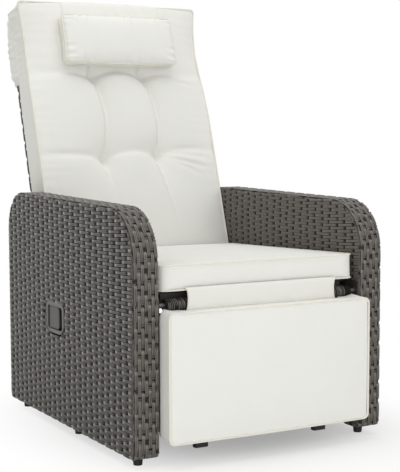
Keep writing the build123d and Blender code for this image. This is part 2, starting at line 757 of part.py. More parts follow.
with BuildPart() as release_lever:
    flat_link(-release_lever_thickness / 2, release_lever_thickness,
              [(*release_pivot, release_rim),
               (release_pivot[0], release_pivot[1] - release_lever_length, release_rim)],
              [(*release_pivot, release_pin_radius + pin_clearance),
               (release_pivot[0], release_pivot[1] - release_lever_length, cable_radius / 2)])
release_lever.part.label = "release_lever"
export_step(release_lever.part, "parts/release_lever.step")

# Gas spring: hollow cylinder with a capped end, piston rod and its eye
with BuildPart() as gas_cylinder:
    bar(across(-spring_eye_width / 2, spring_base), spring_eye_radius, spring_eye_width)
    bar(spring_axis, spring_pin_radius + cylinder_wall, cylinder_start)
    bar(spring_axis.offset(cylinder_start), cylinder_radius, cylinder_length)
    bar(spring_axis.offset(cylinder_start + cylinder_cap), cylinder_radius - cylinder_wall,
        cylinder_length - 2 * cylinder_cap, Mode.SUBTRACT)
    bar(spring_axis.offset(cylinder_end - cylinder_cap - overrun), rod_radius + pin_clearance,
        cylinder_cap + 2 * overrun, Mode.SUBTRACT)
    bar(across(-spring_eye_width, spring_base), spring_pin_radius + pin_clearance,
        2 * spring_eye_width, Mode.SUBTRACT)
gas_cylinder.part.label = "gas_cylinder"
export_step(gas_cylinder.part, "parts/gas_cylinder.step")

rod_start = cylinder_end - rod_inside
with BuildPart() as gas_rod:
    bar(spring_axis.offset(rod_start), cylinder_radius - cylinder_wall - pin_clearance,
        piston_length)
    bar(spring_axis.offset(rod_start), rod_radius, spring_length - rod_start)
    eye_centre = (spring_end[0], spring_end[1] - rod_eye_slack)
    bar(across(-spring_eye_width / 2, eye_centre), rod_eye_radius, spring_eye_width)
    bar(across(-spring_eye_width, eye_centre), spring_pin_radius + rod_eye_slack,
        2 * spring_eye_width, Mode.SUBTRACT)
gas_rod.part.label = "gas_rod"
export_step(gas_rod.part, "parts/gas_rod.step")

# Back frame: pivot tube, bent hoop, cross rails, woven skin
with BuildPart() as back_pivot_tube:
    tube(across(-pivot_tube_length / 2, back_pivot), pivot_tube_radius, back_tube_wall,
         pivot_tube_length)
back_pivot_tube.part.label = "back_pivot_tube"
export_step(back_pivot_tube.part, "parts/back_pivot_tube.step")

with BuildPart() as back_pivot_pins:
    for side in (-1, 1):
        bar(across(side * (arm_inner_face - seat_gap), back_pivot), pivot_pin_radius,
            -side * pivot_pin_length)
        bar(across(side * (pivot_tube_length / 2), back_pivot),
            pivot_tube_radius - back_tube_wall - pin_clearance,
            -side * (pivot_pin_length - arm_inner_face + pivot_tube_length / 2))
back_pivot_pins.part.label = "back_pivot_pins"
export_step(back_pivot_pins.part, "parts/back_pivot_pins.step")

hoop_half = back_panel_width / 2 - weave - seat_gap - back_tube_radius
hoop_low = pivot_tube_radius + seat_gap
hoop_high = back_panel_top - weave - seat_gap - back_tube_radius
back_bend = back_panel_corner - weave - seat_gap - back_tube_radius
with BuildPart() as back_hoop:
    bent_tube(back_plane, [(-hoop_half, hoop_low), (-hoop_half, hoop_high),
                           (hoop_half, hoop_high), (hoop_half, hoop_low)],
              (back_bend, back_bend), back_tube_radius, back_tube_wall)
back_hoop.part.label = "back_hoop"
export_step(back_hoop.part, "parts/back_hoop.step")

back_rail_half = hoop_half - back_tube_radius - seat_gap
with BuildPart() as back_cross_rails:
    for height in back_rail_heights:
        start = back_plane.from_local_coords(Vector(-back_rail_half, height, 0))
        tube(Plane(origin=start, x_dir=back_plane.y_dir, z_dir=(1, 0, 0)), back_rail_radius,
             back_tube_wall, 2 * back_rail_half)
back_cross_rails.part.label = "back_cross_rails"
export_step(back_cross_rails.part, "parts/back_cross_rails.step")

back_panel_length = back_panel_top - back_panel_start
with BuildPart() as back_weave:
    with BuildSketch(back_plane.offset(-back_panel_thickness / 2)) as back_outline:
        with Locations((0, back_panel_start + back_panel_length / 2)):
            Rectangle(back_panel_width, back_panel_length)
        fillet(back_outline.vertices().group_by(Axis.Y)[-1], back_panel_corner)
    extrude(back_outline.sketch, amount=back_panel_thickness)
    with BuildSketch(back_plane.offset(weave - back_panel_thickness / 2)) as back_cavity:
        with Locations((0, back_panel_start + (back_panel_length - weave - overrun) / 2)):
            Rectangle(back_panel_width - 2 * weave, back_panel_length - weave + overrun)
        fillet(back_cavity.vertices().group_by(Axis.Y)[-1], back_panel_corner - weave)
    extrude(back_cavity.sketch, amount=back_panel_thickness - 2 * weave, mode=Mode.SUBTRACT)
back_weave.part.label = "back_weave"
export_step(back_weave.part, "parts/back_weave.step")

# Linkage: levers on the back and on the footrest, their pins and the link bars
with BuildPart() as back_levers:
    for side in (-1, 1):
        flat_link(side * lever_station, side * lever_thickness,
                  [(*back_pivot, pivot_tube_radius + lever_tube_rim), (*link_rear, lever_pin_rim)],
                  [(*back_pivot, pivot_tube_radius + seat_gap),
                   (*link_rear, link_pin_radius + pin_clearance)])
back_levers.part.label = "back_levers"
export_step(back_levers.part, "parts/back_levers.step")

with BuildPart() as foot_levers:
    for side in (-1, 1):
        flat_link(side * lever_station, side * lever_thickness,
                  [(*foot_pivot, foot_rail_radius + lever_tube_rim), (*link_front, lever_pin_rim)],
                  [(*foot_pivot, foot_rail_radius + seat_gap),
                   (*link_front, link_pin_radius + pin_clearance)])
foot_levers.part.label = "foot_levers"
export_step(foot_levers.part, "parts/foot_levers.step")

pin_length = lever_thickness + 2 * link_gap + link_thickness
for pin_name, pin_centre in (("link_rear_pins", link_rear), ("link_front_pins", link_front)):
    with BuildPart() as link_pins:
        for side in (-1, 1):
            bar(across(side * lever_station, pin_centre), link_pin_radius, side * pin_length)
            bar(across(side * (lever_station + pin_length), pin_centre), link_head_radius,
                side * link_head_height)
            bar(across(side * lever_station, pin_centre), link_head_radius,
                -side * link_head_height)
    link_pins.part.label = pin_name
    export_step(link_pins.part, f"parts/{pin_name}.step")

for side, side_name in ((-1, "left"), (1, "right")):
    with BuildPart() as link_bar:
        with BuildSketch(Plane.YZ.offset(side * link_station)) as link_outline:
            with Locations(link_rear):
                Circle(link_half_height)
            with Locations(link_slot_centre):
                Circle(link_eye_radius)
            make_hull()
            with Locations(link_rear):
                Circle(link_pin_radius + pin_clearance, mode=Mode.SUBTRACT)
            with Locations(link_slot_centre):
                SlotCenterToCenter(2 * link_slot_shift, 2 * (link_pin_radius + link_slot_slack / 2),
                                   rotation=90, mode=Mode.SUBTRACT)
        extrude(link_outline.sketch, amount=side * link_thickness)
    link_bar.part.label = f"{side_name}_link_bar"
    export_step(link_bar.part, f"parts/{side_name}_link_bar.step")

# Gas spring lever on the pivot tube and its pin
with BuildPart() as spring_lever:
    for side in (-1, 1):
        flat_link(side * spring_plate_station, side * spring_plate_thickness,
                  [(*back_pivot, pivot_tube_radius + lever_tube_rim),
                   (*spring_end, lever_pin_rim)],
                  [(*back_pivot, pivot_tube_radius + seat_gap),
                   (*spring_end, spring_pin_radius + pin_clearance)])
spring_lever.part.label = "spring_lever"
export_step(spring_lever.part, "parts/spring_lever.step")

with BuildPart() as spring_lever_pin:
    bar(across(-bracket_outer, spring_end), spring_pin_radius, 2 * bracket_outer)
spring_lever_pin.part.label = "spring_lever_pin"
export_step(spring_lever_pin.part, "parts/spring_lever_pin.step")

# Footrest frame: top rail with its wound wrap, pins, bent hoop, woven skin, bumpers
with BuildPart() as foot_top_rail:
    tube(across(-foot_rail_length / 2, foot_pivot), foot_rail_radius, foot_tube_wall,
         foot_rail_length)
foot_top_rail.part.label = "footrest_top_rail"
export_step(foot_top_rail.part, "parts/footrest_top_rail.step")

wrap_edge = lever_station - seat_gap
outer_wrap_start = link_station + link_thickness + link_gap + link_head_height
with BuildPart() as rail_wrap:
    tube(across(-wrap_edge, foot_pivot), foot_rail_radius + foot_rail_wrap,
         foot_rail_wrap - seat_gap, 2 * wrap_edge)
    for side in (-1, 1):
        tube(across(side * outer_wrap_start, foot_pivot), foot_rail_radius + foot_rail_wrap,
             foot_rail_wrap - seat_gap, side * (foot_rail_length / 2 - outer_wrap_start))
rail_wrap.part.label = "footrest_rail_wrap"
export_step(rail_wrap.part, "parts/footrest_rail_wrap.step")

with BuildPart() as foot_pivot_pins:
    for side in (-1, 1):
        bar(across(side * (arm_inner_face - seat_gap), foot_pivot), pivot_pin_radius,
            -side * (arm_inner_face - seat_gap - foot_rail_length / 2))
        bar(across(side * foot_rail_length / 2, foot_pivot),
            foot_rail_radius - foot_tube_wall - pin_clearance, -side * pivot_pin_length)
foot_pivot_pins.part.label = "footrest_pivot_pins"
export_step(foot_pivot_pins.part, "parts/footrest_pivot_pins.step")

foot_mid_y = front_y + foot_panel_thickness / 2
foot_half = foot_panel_width / 2 - weave - seat_gap - foot_tube_radius
foot_low = foot_panel_bottom + weave + seat_gap + foot_tube_radius
foot_high = foot_pivot_height - foot_rail_radius - foot_rail_wrap - seat_gap
foot_bend = foot_panel_corner - weave - seat_gap + foot_tube_radius
foot_frame_plane = Plane(origin=(0, foot_mid_y, 0), x_dir=(1, 0, 0), z_dir=(0, -1, 0))
with BuildPart() as foot_hoop:
    bent_tube(foot_frame_plane, [(-foot_half, foot_high), (-foot_half, foot_low),
                                 (foot_half, foot_low), (foot_half, foot_high)],
              (foot_bend, foot_bend), foot_tube_radius, foot_tube_wall)
foot_hoop.part.label = "footrest_hoop"
export_step(foot_hoop.part, "parts/footrest_hoop.step")

foot_panel_length = foot_panel_top - foot_panel_bottom
with BuildPart() as foot_weave:
    with BuildSketch(foot_frame_plane.offset(-foot_panel_thickness / 2)) as foot_outline:
        with Locations((0, foot_panel_bottom + foot_panel_length / 2)):
            Rectangle(foot_panel_width, foot_panel_length)
        fillet(foot_outline.vertices().group_by(Axis.Y)[0], foot_panel_corner)
    extrude(foot_outline.sketch, amount=foot_panel_thickness)
    with BuildSketch(foot_frame_plane.offset(weave - foot_panel_thickness / 2)) as foot_cavity:
        with Locations((0, foot_panel_bottom + weave + (foot_panel_length + overrun) / 2)):
            Rectangle(foot_panel_width - 2 * weave, foot_panel_length + overrun)
        fillet(foot_cavity.vertices().group_by(Axis.Y)[0], foot_panel_corner - weave)
    extrude(foot_cavity.sketch, amount=foot_panel_thickness - 2 * weave, mode=Mode.SUBTRACT)
foot_weave.part.label = "footrest_weave"
export_step(foot_weave.part, "parts/footrest_weave.step")

with BuildPart() as foot_bumpers:
    for side in (-1, 1):
        bumper_place = (side * bumper_spread / 2, foot_mid_y, bumper_bottom)
        with BuildSketch(Plane(origin=bumper_place)) as pad_face:
            RectangleRounded(bumper_width, bumper_depth, bumper_corner)
        extrude(pad_face.sketch, amount=foot_panel_bottom - bumper_bottom)
foot_bumpers.part.label = "footrest_bumpers"
export_step(foot_bumpers.part, "parts/footrest_bumpers.step")

# Cushions
with BuildPart() as seat_cushion:
    pad(seat_plane.offset(seat_gap), cushion_width, seat_depth, seat_cushion_thickness,
        seat_cushion_crown)
    fillet(seat_cushion.edges(), cushion_edge_radius)
seat_cushion.part.label = "seat_cushion"
export_step(seat_cushion.part, "parts/seat_cushion.step")

back_front = back_panel_thickness / 2 + seat_gap
tuft_ball = (tuft_radius ** 2 + tuft_depth ** 2) / (2 * tuft_depth)
crease_radius = (crease_half_width ** 2 + crease_depth ** 2) / (2 * crease_depth)
back_top = back_front + back_cushion_thickness + back_cushion_crown
with BuildPart() as back_cushion:
    pad(back_plane.offset(back_front), cushion_width, back_cushion_length,
        back_cushion_thickness, back_cushion_crown)
    fillet(back_cushion.edges(), cushion_edge_radius)
    for tuft_x in (-tuft_spread / 2, tuft_spread / 2):
        for height in tuft_heights:
            centre = back_plane.from_local_coords(
                Vector(tuft_x, height, back_top - tuft_depth + tuft_ball))
            with Locations(centre):
                Sphere(tuft_ball, mode=Mode.SUBTRACT)
        crease_low = back_plane.from_local_coords(
            Vector(tuft_x, tuft_heights[0], back_top - crease_depth + crease_radius))
        bar(Plane(origin=crease_low, x_dir=(1, 0, 0), z_dir=back_plane.y_dir), crease_radius,
            tuft_heights[1] - tuft_heights[0], Mode.SUBTRACT)
back_cushion.part.label = "back_cushion"
export_step(back_cushion.part, "parts/back_cushion.step")

with BuildPart() as cushion_hood:
    hood_plane = Plane(origin=back_plane.from_local_coords(Vector(-cushion_width / 2, 0, 0)),
                       x_dir=back_plane.z_dir, z_dir=(-1, 0, 0))
    with BuildSketch(hood_plane) as hood_profile:
        with BuildLine():
            Polyline((-hood_rear, hood_bottom), (-hood_rear, hood_top),
                     (back_front - seat_gap, hood_top),
                     (back_front - seat_gap, back_panel_top + seat_gap),
                     (-back_front, back_panel_top + seat_gap), (-back_front, hood_bottom),
                     close=True)
        make_face()
        fillet(hood_profile.vertices().group_by(Axis.X)[0].sort_by(Axis.Y)[-1], hood_radius)
    extrude(hood_profile.sketch, amount=-cushion_width)
cushion_hood.part.label = "cushion_hood"
export_step(cushion_hood.part, "parts/cushion_hood.step")

pillow_end = pillow_start + pillow_length
pillow_rise = crown_rise(back_cushion_crown, pillow_start / back_cushion_length)
pillow_base = back_plane.offset(back_front + back_cushion_thickness + pillow_rise + seat_gap)
with BuildPart() as head_pillow:
    pad(Plane(origin=pillow_base.from_local_coords(Vector(0, pillow_start, 0)),
              x_dir=(1, 0, 0), z_dir=pillow_base.z_dir),
        pillow_width, pillow_length, pillow_thickness, pillow_crown)
    fillet(head_pillow.edges(), pillow_edge_radius)
head_pillow.part.label = "head_pillow"
export_step(head_pillow.part, "parts/head_pillow.step")

flap_end = back_cushion_length - cushion_edge_radius
flap_length = flap_end - pillow_end
flap_rise = crown_rise(back_cushion_crown, pillow_end / back_cushion_length)
flap_base = back_plane.offset(back_front + back_cushion_thickness + flap_rise + seat_gap)
with BuildPart() as pillow_flap:
    with BuildSketch(flap_base) as flap_face:
        with Locations((0, flap_end - flap_length / 2)):
            Rectangle(pillow_flap_width, flap_length)
    extrude(flap_face.sketch, amount=pillow_flap_thickness)
pillow_flap.part.label = "pillow_flap"
export_step(pillow_flap.part, "parts/pillow_flap.step")

with BuildPart() as foot_cushion:
    pad(foot_plane, foot_cushion_width, foot_cushion_length, foot_cushion_thickness,
        foot_cushion_crown)
    fillet(foot_cushion.edges(), cushion_edge_radius)
foot_cushion.part.label = "footrest_cushion"
export_step(foot_cushion.part, "parts/footrest_cushion.step")

with BuildPart() as seat_flap:
    flap_centre = (0, foot_rail_front - seat_gap - seat_flap_thickness / 2,
                   seat_front_height - seat_gap - seat_flap_drop)
    with BuildSketch(Plane(origin=flap_centre)) as flap_section:
        Rectangle(seat_flap_width, seat_flap_thickness)
    extrude(flap_section.sketch, amount=seat_flap_drop)
seat_flap.part.label = "seat_flap"
export_step(seat_flap.part, "parts/seat_flap.step")
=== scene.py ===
"""The looks of a woven reclining garden armchair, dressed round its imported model."""

import json
import logging
import math
from dataclasses import dataclass
from enum import Enum
from functools import lru_cache
from typing import Iterable, Sequence

import bmesh
import bpy
import numpy as np
from mathutils import Matrix, Vector, noise
from mathutils.bvhtree import BVHTree


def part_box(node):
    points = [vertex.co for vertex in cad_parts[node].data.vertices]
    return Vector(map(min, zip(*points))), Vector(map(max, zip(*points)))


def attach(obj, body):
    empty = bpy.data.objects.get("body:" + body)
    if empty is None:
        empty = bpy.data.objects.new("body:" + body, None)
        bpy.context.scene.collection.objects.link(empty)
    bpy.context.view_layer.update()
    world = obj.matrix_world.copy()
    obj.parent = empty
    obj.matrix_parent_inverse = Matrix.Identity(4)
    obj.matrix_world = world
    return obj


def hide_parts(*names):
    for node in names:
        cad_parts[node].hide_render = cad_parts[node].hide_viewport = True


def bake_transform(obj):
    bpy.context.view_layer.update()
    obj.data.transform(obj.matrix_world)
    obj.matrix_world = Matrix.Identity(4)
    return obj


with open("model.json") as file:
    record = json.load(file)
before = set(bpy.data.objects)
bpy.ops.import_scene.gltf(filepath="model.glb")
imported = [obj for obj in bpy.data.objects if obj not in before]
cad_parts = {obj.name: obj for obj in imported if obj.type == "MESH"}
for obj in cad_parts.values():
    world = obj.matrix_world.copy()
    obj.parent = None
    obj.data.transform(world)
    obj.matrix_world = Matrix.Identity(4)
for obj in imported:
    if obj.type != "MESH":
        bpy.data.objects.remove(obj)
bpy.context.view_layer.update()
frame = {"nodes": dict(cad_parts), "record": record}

log = logging.getLogger("armchair")
Colour = tuple[float, float, float]
Point = Sequence[float]

ARM_LOW, ARM_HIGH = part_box("left_arm_weave")
ARM_INNER, ARM_OUTER = sorted((abs(ARM_LOW.x), abs(ARM_HIGH.x)))
FRONT_Y = ARM_LOW.y
SEAM_RADIUS = 0.0027


class Value:
    """A number worked out by nodes: sums written on it add Math nodes to its tree."""

    def __init__(self, wiring: "Wiring", socket: bpy.types.NodeSocket) -> None:
        """Keeps the tree and the socket that gives the number."""
        self.wiring = wiring
        self.socket = socket

    def math(self, operation: str, *others: object) -> "Value":
        """Adds one Math node.

        Args:
            operation: the node's operation.
            others: its second and third numbers, each a Value or a plain number.

        Returns:
            The node's result.
        """
        return self.wiring.value("ShaderNodeMath", {"operation": operation},
                                 dict(enumerate((self, *others))))

    def __add__(self, other: object) -> "Value":
        """This plus other."""
        return self.math("ADD", other)

    __radd__ = __add__

    def __mul__(self, other: object) -> "Value":
        """This times other."""
        return self.math("MULTIPLY", other)

    __rmul__ = __mul__

    def __sub__(self, other: object) -> "Value":
        """This less other."""
        return self.math("SUBTRACT", other)

    def __rsub__(self, other: float) -> "Value":
        """Other less this."""
        return self.math("MULTIPLY_ADD", -1.0, other)

    def __truediv__(self, other: object) -> "Value":
        """This divided by other."""
        return self.math("DIVIDE", other)

    def __pow__(self, other: object) -> "Value":
        """This to the power of other."""
        return self.math("POWER", other)


class Wiring:
    """Adds nodes to a shader tree or a geometry tree and joins their sockets."""

    def __init__(self, tree: bpy.types.NodeTree) -> None:
        """Keeps the tree to build in."""
        self.tree = tree

    def feed(self, socket: bpy.types.NodeSocket, source: object) -> None:
        """Sets a socket to a constant, or links it to a Value or a socket."""
        if isinstance(source, Value):
            source = source.socket
        if isinstance(source, bpy.types.NodeSocket):
            self.tree.links.new(source, socket)
        else:
            socket.default_value = source

    def node(self, kind: str, settings: dict | None = None,
             inputs: dict | None = None) -> bpy.types.Node:
        """Adds a node.

        Args:
            kind: the node's type name.
            settings: its properties, set first.
            inputs: values or links for its sockets, by name or by number.

        Returns:
            The node.
        """
        node = self.tree.nodes.new(kind)
        for name, setting in (settings or {}).items():
            setattr(node, name, setting)
        for name, source in (inputs or {}).items():
            self.feed(node.inputs[name], source)
        return node

    def value(self, kind: str, settings: dict | None = None, inputs: dict | None = None,
              output: int | str = 0) -> Value:
        """Adds a node as node() does and gives one of its outputs as a Value."""
        return Value(self, self.node(kind, settings, inputs).outputs[output])


class Shader(Wiring):
    """One material: a Principled BSDF and what feeds it."""

    def __init__(self, name: str) -> None:
        """Starts a material of that name with its surface shader."""
        self.material = bpy.data.materials.new(name)
        self.material.use_nodes = True
        super().__init__(self.material.node_tree)
        self.surface = self.tree.nodes["Principled BSDF"]

    def set(self, **sockets: object) -> None:
        """Sets the surface's sockets, named with _ for a space."""
        for name, source in sockets.items():
            self.feed(self.surface.inputs[name.replace("_", " ")], source)

    def attribute(self, name: str) -> Value:
        """A number that the mesh carries under that name."""
        return self.value("ShaderNodeAttribute", {"attribute_name": name}, output="Fac")

    def place(self) -> bpy.types.NodeSocket:
        """The Object coordinates."""
        return self.node("ShaderNodeTexCoord").outputs["Object"]

    def clouds(self, scale: float, detail: float = 2.0,
               stretch: Point = (1.0, 1.0, 1.0)) -> Value:
        """Soft noise.

        Args:
            scale: waves per metre.
            detail: octaves.
            stretch: a factor on each of the Object axes.

        Returns:
            The noise, from 0 to 1.
        """
        spread = self.node("ShaderNodeMapping", {}, {"Vector": self.place(), "Scale": stretch})
        return self.value("ShaderNodeTexNoise", {"noise_dimensions": "3D"},
                          {"Vector": spread.outputs[0], "Scale": scale, "Detail": detail})

    def blend(self, share: Value, first: Colour, second: Colour) -> bpy.types.NodeSocket:
        """A colour between two by a share from 0 to 1."""
        mix = self.node("ShaderNodeMix", {"data_type": "RGBA"}, {0: share})
        mix.inputs[6].default_value = (*first, 1.0)
        mix.inputs[7].default_value = (*second, 1.0)
        return mix.outputs[2]

    def darken(self, colour: bpy.types.NodeSocket, share: Value,
               deep: Colour) -> bpy.types.NodeSocket:
        """A worked-out colour turned to a deeper one by a share from 0 to 1."""
        mix = self.node("ShaderNodeMix", {"data_type": "RGBA"}, {0: share, 6: colour})
        mix.inputs[7].default_value = (*deep, 1.0)
        return mix.outputs[2]

    def relief(self, height: Value, depth: float, strength: float = 1.0) -> None:
        """Raises and sinks the surface's look by a height of that depth in metres."""
        bump = self.node("ShaderNodeBump", {}, {"Height": height, "Distance": depth,
                                                "Strength": strength})
        self.feed(self.surface.inputs["Normal"], bump.outputs[0])


@dataclass(frozen=True)
class Wicker:
    """Flat resin strand with fine lengthwise ribs, browned unevenly, with painted shade in its
    dips and its section's hollows and painted highlights on its ridges and beside each dip; its
    tone also carries painted light that differs from face to face.
    """

    name: str = "wicker_strand"
    dark: Colour = (0.028, 0.0255, 0.022)
    light: Colour = (0.185, 0.169, 0.149)
    # painted highlight: the pale colour painted where each strand rises out of a dip, standing in
    # for the light it catches there
    painted_highlight_colour: Colour = (0.46, 0.44, 0.40)
    # painted shade in the dips: the near black that a strand turns to where it sinks, and how far
    # it turns
    deep: Colour = (0.004, 0.0035, 0.003)
    dip_painted_shade: float = 0.96
    ribs: float = 6.0
    rib_depth: float = 0.0004

    def build(self) -> bpy.types.Material:
        """Makes the material."""
        shader = Shader(self.name)
        # the strand's tone carries a random paleness per row plus each piece's painted light and
        # shade
        tone_and_painted_light = shader.attribute("tone_and_painted_light")
        across = shader.attribute("across")
        patches = shader.clouds(30.0)
        grain = shader.clouds(700.0, 3.0)
        # the colour follows the strand's section: paler on its two ridges, darker in its groove,
        # its fine grooves and at its edges, painted highlight and shade on its relief
        ribs = 0.5 - (across * (math.pi * self.ribs)).math("COSINE") * 0.5
        ridge_painted_light = 0.5 - (across * (2 * math.pi)).math("COSINE") * 0.5
        share = (tone_and_painted_light * 0.4 + patches * 0.25 + ribs * 0.1 + ridge_painted_light * 0.62 + grain * 0.15
                 - 0.23)
        sunk = shader.attribute("sunk")
        shown = shader.blend(share, self.dark, self.light)
        shown = shader.darken(shown, shader.attribute("painted_highlight") * 0.85, self.painted_highlight_colour)
        # painted shade: the colour goes near black where the strand sinks under its neighbours
        shader.set(Base_Color=shader.darken(shown, sunk * self.dip_painted_shade, self.deep),
                   Roughness=0.36 + grain * 0.12 + sunk * 0.4, Specular_IOR_Level=0.5)
        shader.relief(ribs + grain * 0.2, self.rib_depth, 1.0)
        return shader.material


@dataclass(frozen=True)
class WickerShade:
    """Near-black painted shade for the inside of the woven skin between its strands, also worn by
    the record's plain wicker parts.
    """

    name: str = "wicker_shade"
    dark: Colour = (0.006, 0.005, 0.004)
    light: Colour = (0.02, 0.018, 0.015)

    def build(self) -> bpy.types.Material:
        """Makes the material."""
        shader = Shader(self.name)
        shader.set(Base_Color=shader.blend(shader.clouds(140.0), self.dark, self.light),
                   Roughness=0.8 + shader.clouds(300.0) * 0.1, Specular_IOR_Level=0.1)
        return shader.material


@dataclass(frozen=True)
class Fabric:
    """Off-white woven polyester: a fine basket weave and slight slackness."""

    name: str = "cushion_cloth"
    light: Colour = (0.86, 0.86, 0.83)
    shade: Colour = (0.80, 0.80, 0.765)
    threads: float = 620.0

    def build(self) -> bpy.types.Material:
        """Makes the material."""
        shader = Shader(self.name)
        axes = shader.node("ShaderNodeSeparateXYZ", {}, {0: shader.place()})
        turn = 2 * math.pi * self.threads
        waves = [(Value(shader, axes.outputs[axis]) * turn).math("SINE") for axis in range(3)]
        weave = (waves[0] * waves[1] + waves[1] * waves[2] + waves[2] * waves[0]) * 0.25 + 0.5
        soft = shader.clouds(9.0, 3.0)
        slack = shader.clouds(34.0, 3.0)
        share = soft * 0.6 + weave * 0.2
        shader.set(Base_Color=shader.blend(share, self.light, self.shade),
                   Roughness=0.82 + weave * 0.12, Sheen_Weight=0.25, Sheen_Roughness=0.5,
                   Specular_IOR_Level=0.25)
        shader.relief(weave * 0.12 + slack * 0.9, 0.0022, 0.5)
        return shader.material


@dataclass(frozen=True)
class Piping:
    """Ivory cord covered in bias cut cloth, with its diagonal weave."""

    name: str = "ivory_piping"
    light: Colour = (0.85, 0.835, 0.755)
    shade: Colour = (0.77, 0.75, 0.66)

    def build(self) -> bpy.types.Material:
        """Makes the material."""
        shader = Shader(self.name)
        along = shader.attribute("along")
        across = shader.attribute("across")
        weave = ((along * 2600.0 + across * 4.0).math("SINE")) * 0.5 + 0.5
        share = weave * 0.3 + shader.clouds(60.0) * 0.4
        shader.set(Base_Color=shader.blend(share, self.light, self.shade),
                   Roughness=0.8 + weave * 0.1, Sheen_Weight=0.2)
        shader.relief(weave, 0.0003, 0.6)
        return shader.material


@dataclass(frozen=True)
class Moulded:
    """Moulded plastic or rubber with a fine grain."""

    name: str
    colour: Colour
    lighter: Colour
    roughness: float = 0.45
    grain: float = 900.0
    mouth: float = 0.0
    # the painted shade deep inside the mouth
    inside: Colour = (0.003, 0.003, 0.003)
    lip: Colour = (0.155, 0.154, 0.150)

    def build(self) -> bpy.types.Material:
        """Makes the material, with painted shade inside its mouth at -X and paler on the lip round
        it.
        """
        shader = Shader(self.name)
        grain = shader.clouds(self.grain, 2.0)
        dust = shader.clouds(25.0, 3.0)
        shown = shader.blend(dust * 0.7 + grain * 0.2, self.colour, self.lighter)
        if self.mouth:
            axes = shader.node("ShaderNodeSeparateXYZ", {}, {0: shader.place()})
            # painted shade: past the mouth the moulding turns near black, the shade deep in the
            # cup
            depth = shader.value("ShaderNodeMapRange", {"interpolation_type": "SMOOTHSTEP"},
                                 {"Value": axes.outputs[0], "From Min": self.mouth,
                                  "From Max": self.mouth + 0.002})
            proud = shader.value("ShaderNodeMapRange", {}, {
                "Value": axes.outputs[0], "From Min": self.mouth - 0.0036,
                "From Max": self.mouth - 0.0044})
            shown = shader.darken(shown, proud, self.lip)
            shown = shader.darken(shown, depth, self.inside)
        shader.set(Base_Color=shown, Roughness=self.roughness + grain * 0.12)
        shader.relief(grain, 0.0002, 0.5)
        return shader.material


@dataclass(frozen=True)
class Metal:
    """Bare, plated, lacquered or powder coated metal."""

    name: str
    colour: Colour
    lighter: Colour
    metallic: float
    roughness: float
    orange_peel: float = 0.0

    def build(self) -> bpy.types.Material:
        """Makes the material."""
        shader = Shader(self.name)
        wear = shader.clouds(40.0, 4.0)
        peel = shader.clouds(1300.0, 1.0)
        shader.set(Base_Color=shader.blend(wear, self.colour, self.lighter),
                   Metallic=self.metallic, Roughness=self.roughness + wear * 0.12)
        shader.relief(peel, 0.0002, 0.1 + self.orange_peel)
        return shader.material


class Slot(Enum):
    """The record's material slots, each with the finish that dresses it."""

    WICKER = ("wicker", WickerShade())
    FRAME = ("frame", Metal("brown_powder_coat", (0.03, 0.027, 0.024), (0.05, 0.045, 0.04),
                            0.0, 0.42, 0.5))
    CUSHION = ("cushion", Fabric())
    PIPING = ("piping", Piping())
    HANDLE = ("handle", Moulded("grey_moulding", (0.078, 0.078, 0.077),
                                (0.116, 0.115, 0.113), 0.42, mouth=ARM_LOW.x + 0.003))
    GLIDE = ("glide", Moulded("black_glide", (0.012, 0.012, 0.012), (0.03, 0.03, 0.03), 0.5))
    BUMPER = ("bumper", Moulded("black_rubber", (0.01, 0.01, 0.01), (0.03, 0.03, 0.03), 0.7))
    # painted shade: the zinc gets a near-black metal colour, far darker than plated zinc, so the
    # zinc parts in the shaded gap under the seat read dark
    ZINC = ("zinc", Metal("zinc_plate_painted_shade", (0.09, 0.088, 0.085), (0.16, 0.155, 0.15), 1.0, 0.46))
    SPRING_BODY = ("spring_body", Metal("black_lacquer", (0.01, 0.01, 0.01),
                                        (0.02, 0.02, 0.02), 0.0, 0.22))
    ROD = ("rod", Metal("ground_chrome", (0.62, 0.62, 0.63), (0.7, 0.7, 0.7), 1.0, 0.08))
    CABLE = ("cable", Moulded("cable_sleeve", (0.012, 0.012, 0.012), (0.025, 0.025, 0.025), 0.35))


class Palette:
    """The finished materials, made once each."""

    def __init__(self) -> None:
        """Makes every slot's material and the woven strand's."""
        self.by_slot = {slot.value[0]: slot.value[1].build() for slot in Slot}
        self.strand = Wicker().build()

    def dress(self, obj: bpy.types.Object, material: bpy.types.Material) -> None:
        """Gives an object that one material."""
        obj.data.materials.clear()
        obj.data.materials.append(material)

    def dress_nodes(self) -> None:
        """Gives every CAD node the material of its slot."""
        for subpart in frame["record"]["subparts"]:
            obj = frame["nodes"][subpart["node"]]
            self.dress(obj, self.by_slot[subpart["material_slot"]])


@dataclass(frozen=True)
class Place:
    """A part's own axes: across the chair, along its length and out of its face."""

    y: float
    z: float
    lean: float

    def matrix(self) -> Matrix:
        """The turn and move from the part's axes to the chair's."""
        along = Vector((0.0, math.cos(self.lean), math.sin(self.lean)))
        out = Vector((0.0, -math.sin(self.lean), math.cos(self.lean)))
        turn = Matrix((Vector((1.0, 0.0, 0.0)), along, out)).transposed()
        return Matrix.Translation((0.0, self.y, self.z)) @ turn.to_4x4()


SEAT = Place(FRONT_Y + 0.010, 0.386, math.radians(-2.0))
BACK = Place(FRONT_Y + 0.700, 0.352, math.radians(90.0 - 17.2))
FOOTREST = Place(FRONT_Y, 0.0, math.radians(90.0))


@dataclass
class Guide:
    """The line that a strand follows and the way its face looks along it."""

    points: list[Vector]
    away: list[Vector]
    row: float = 0.0


class Section(Enum):
    """The cross section of a strand: heights and places across, in shares of its size."""

    RIBBED = ((0.0, -1.0), (1.0, -0.55), (0.2, 0.0), (1.0, 0.55), (0.0, 1.0),
              (-0.9, 0.8), (-0.9, -0.8))
    ROUND = tuple((math.cos(math.pi * k / 4), math.sin(math.pi * k / 4)) for k in range(8))


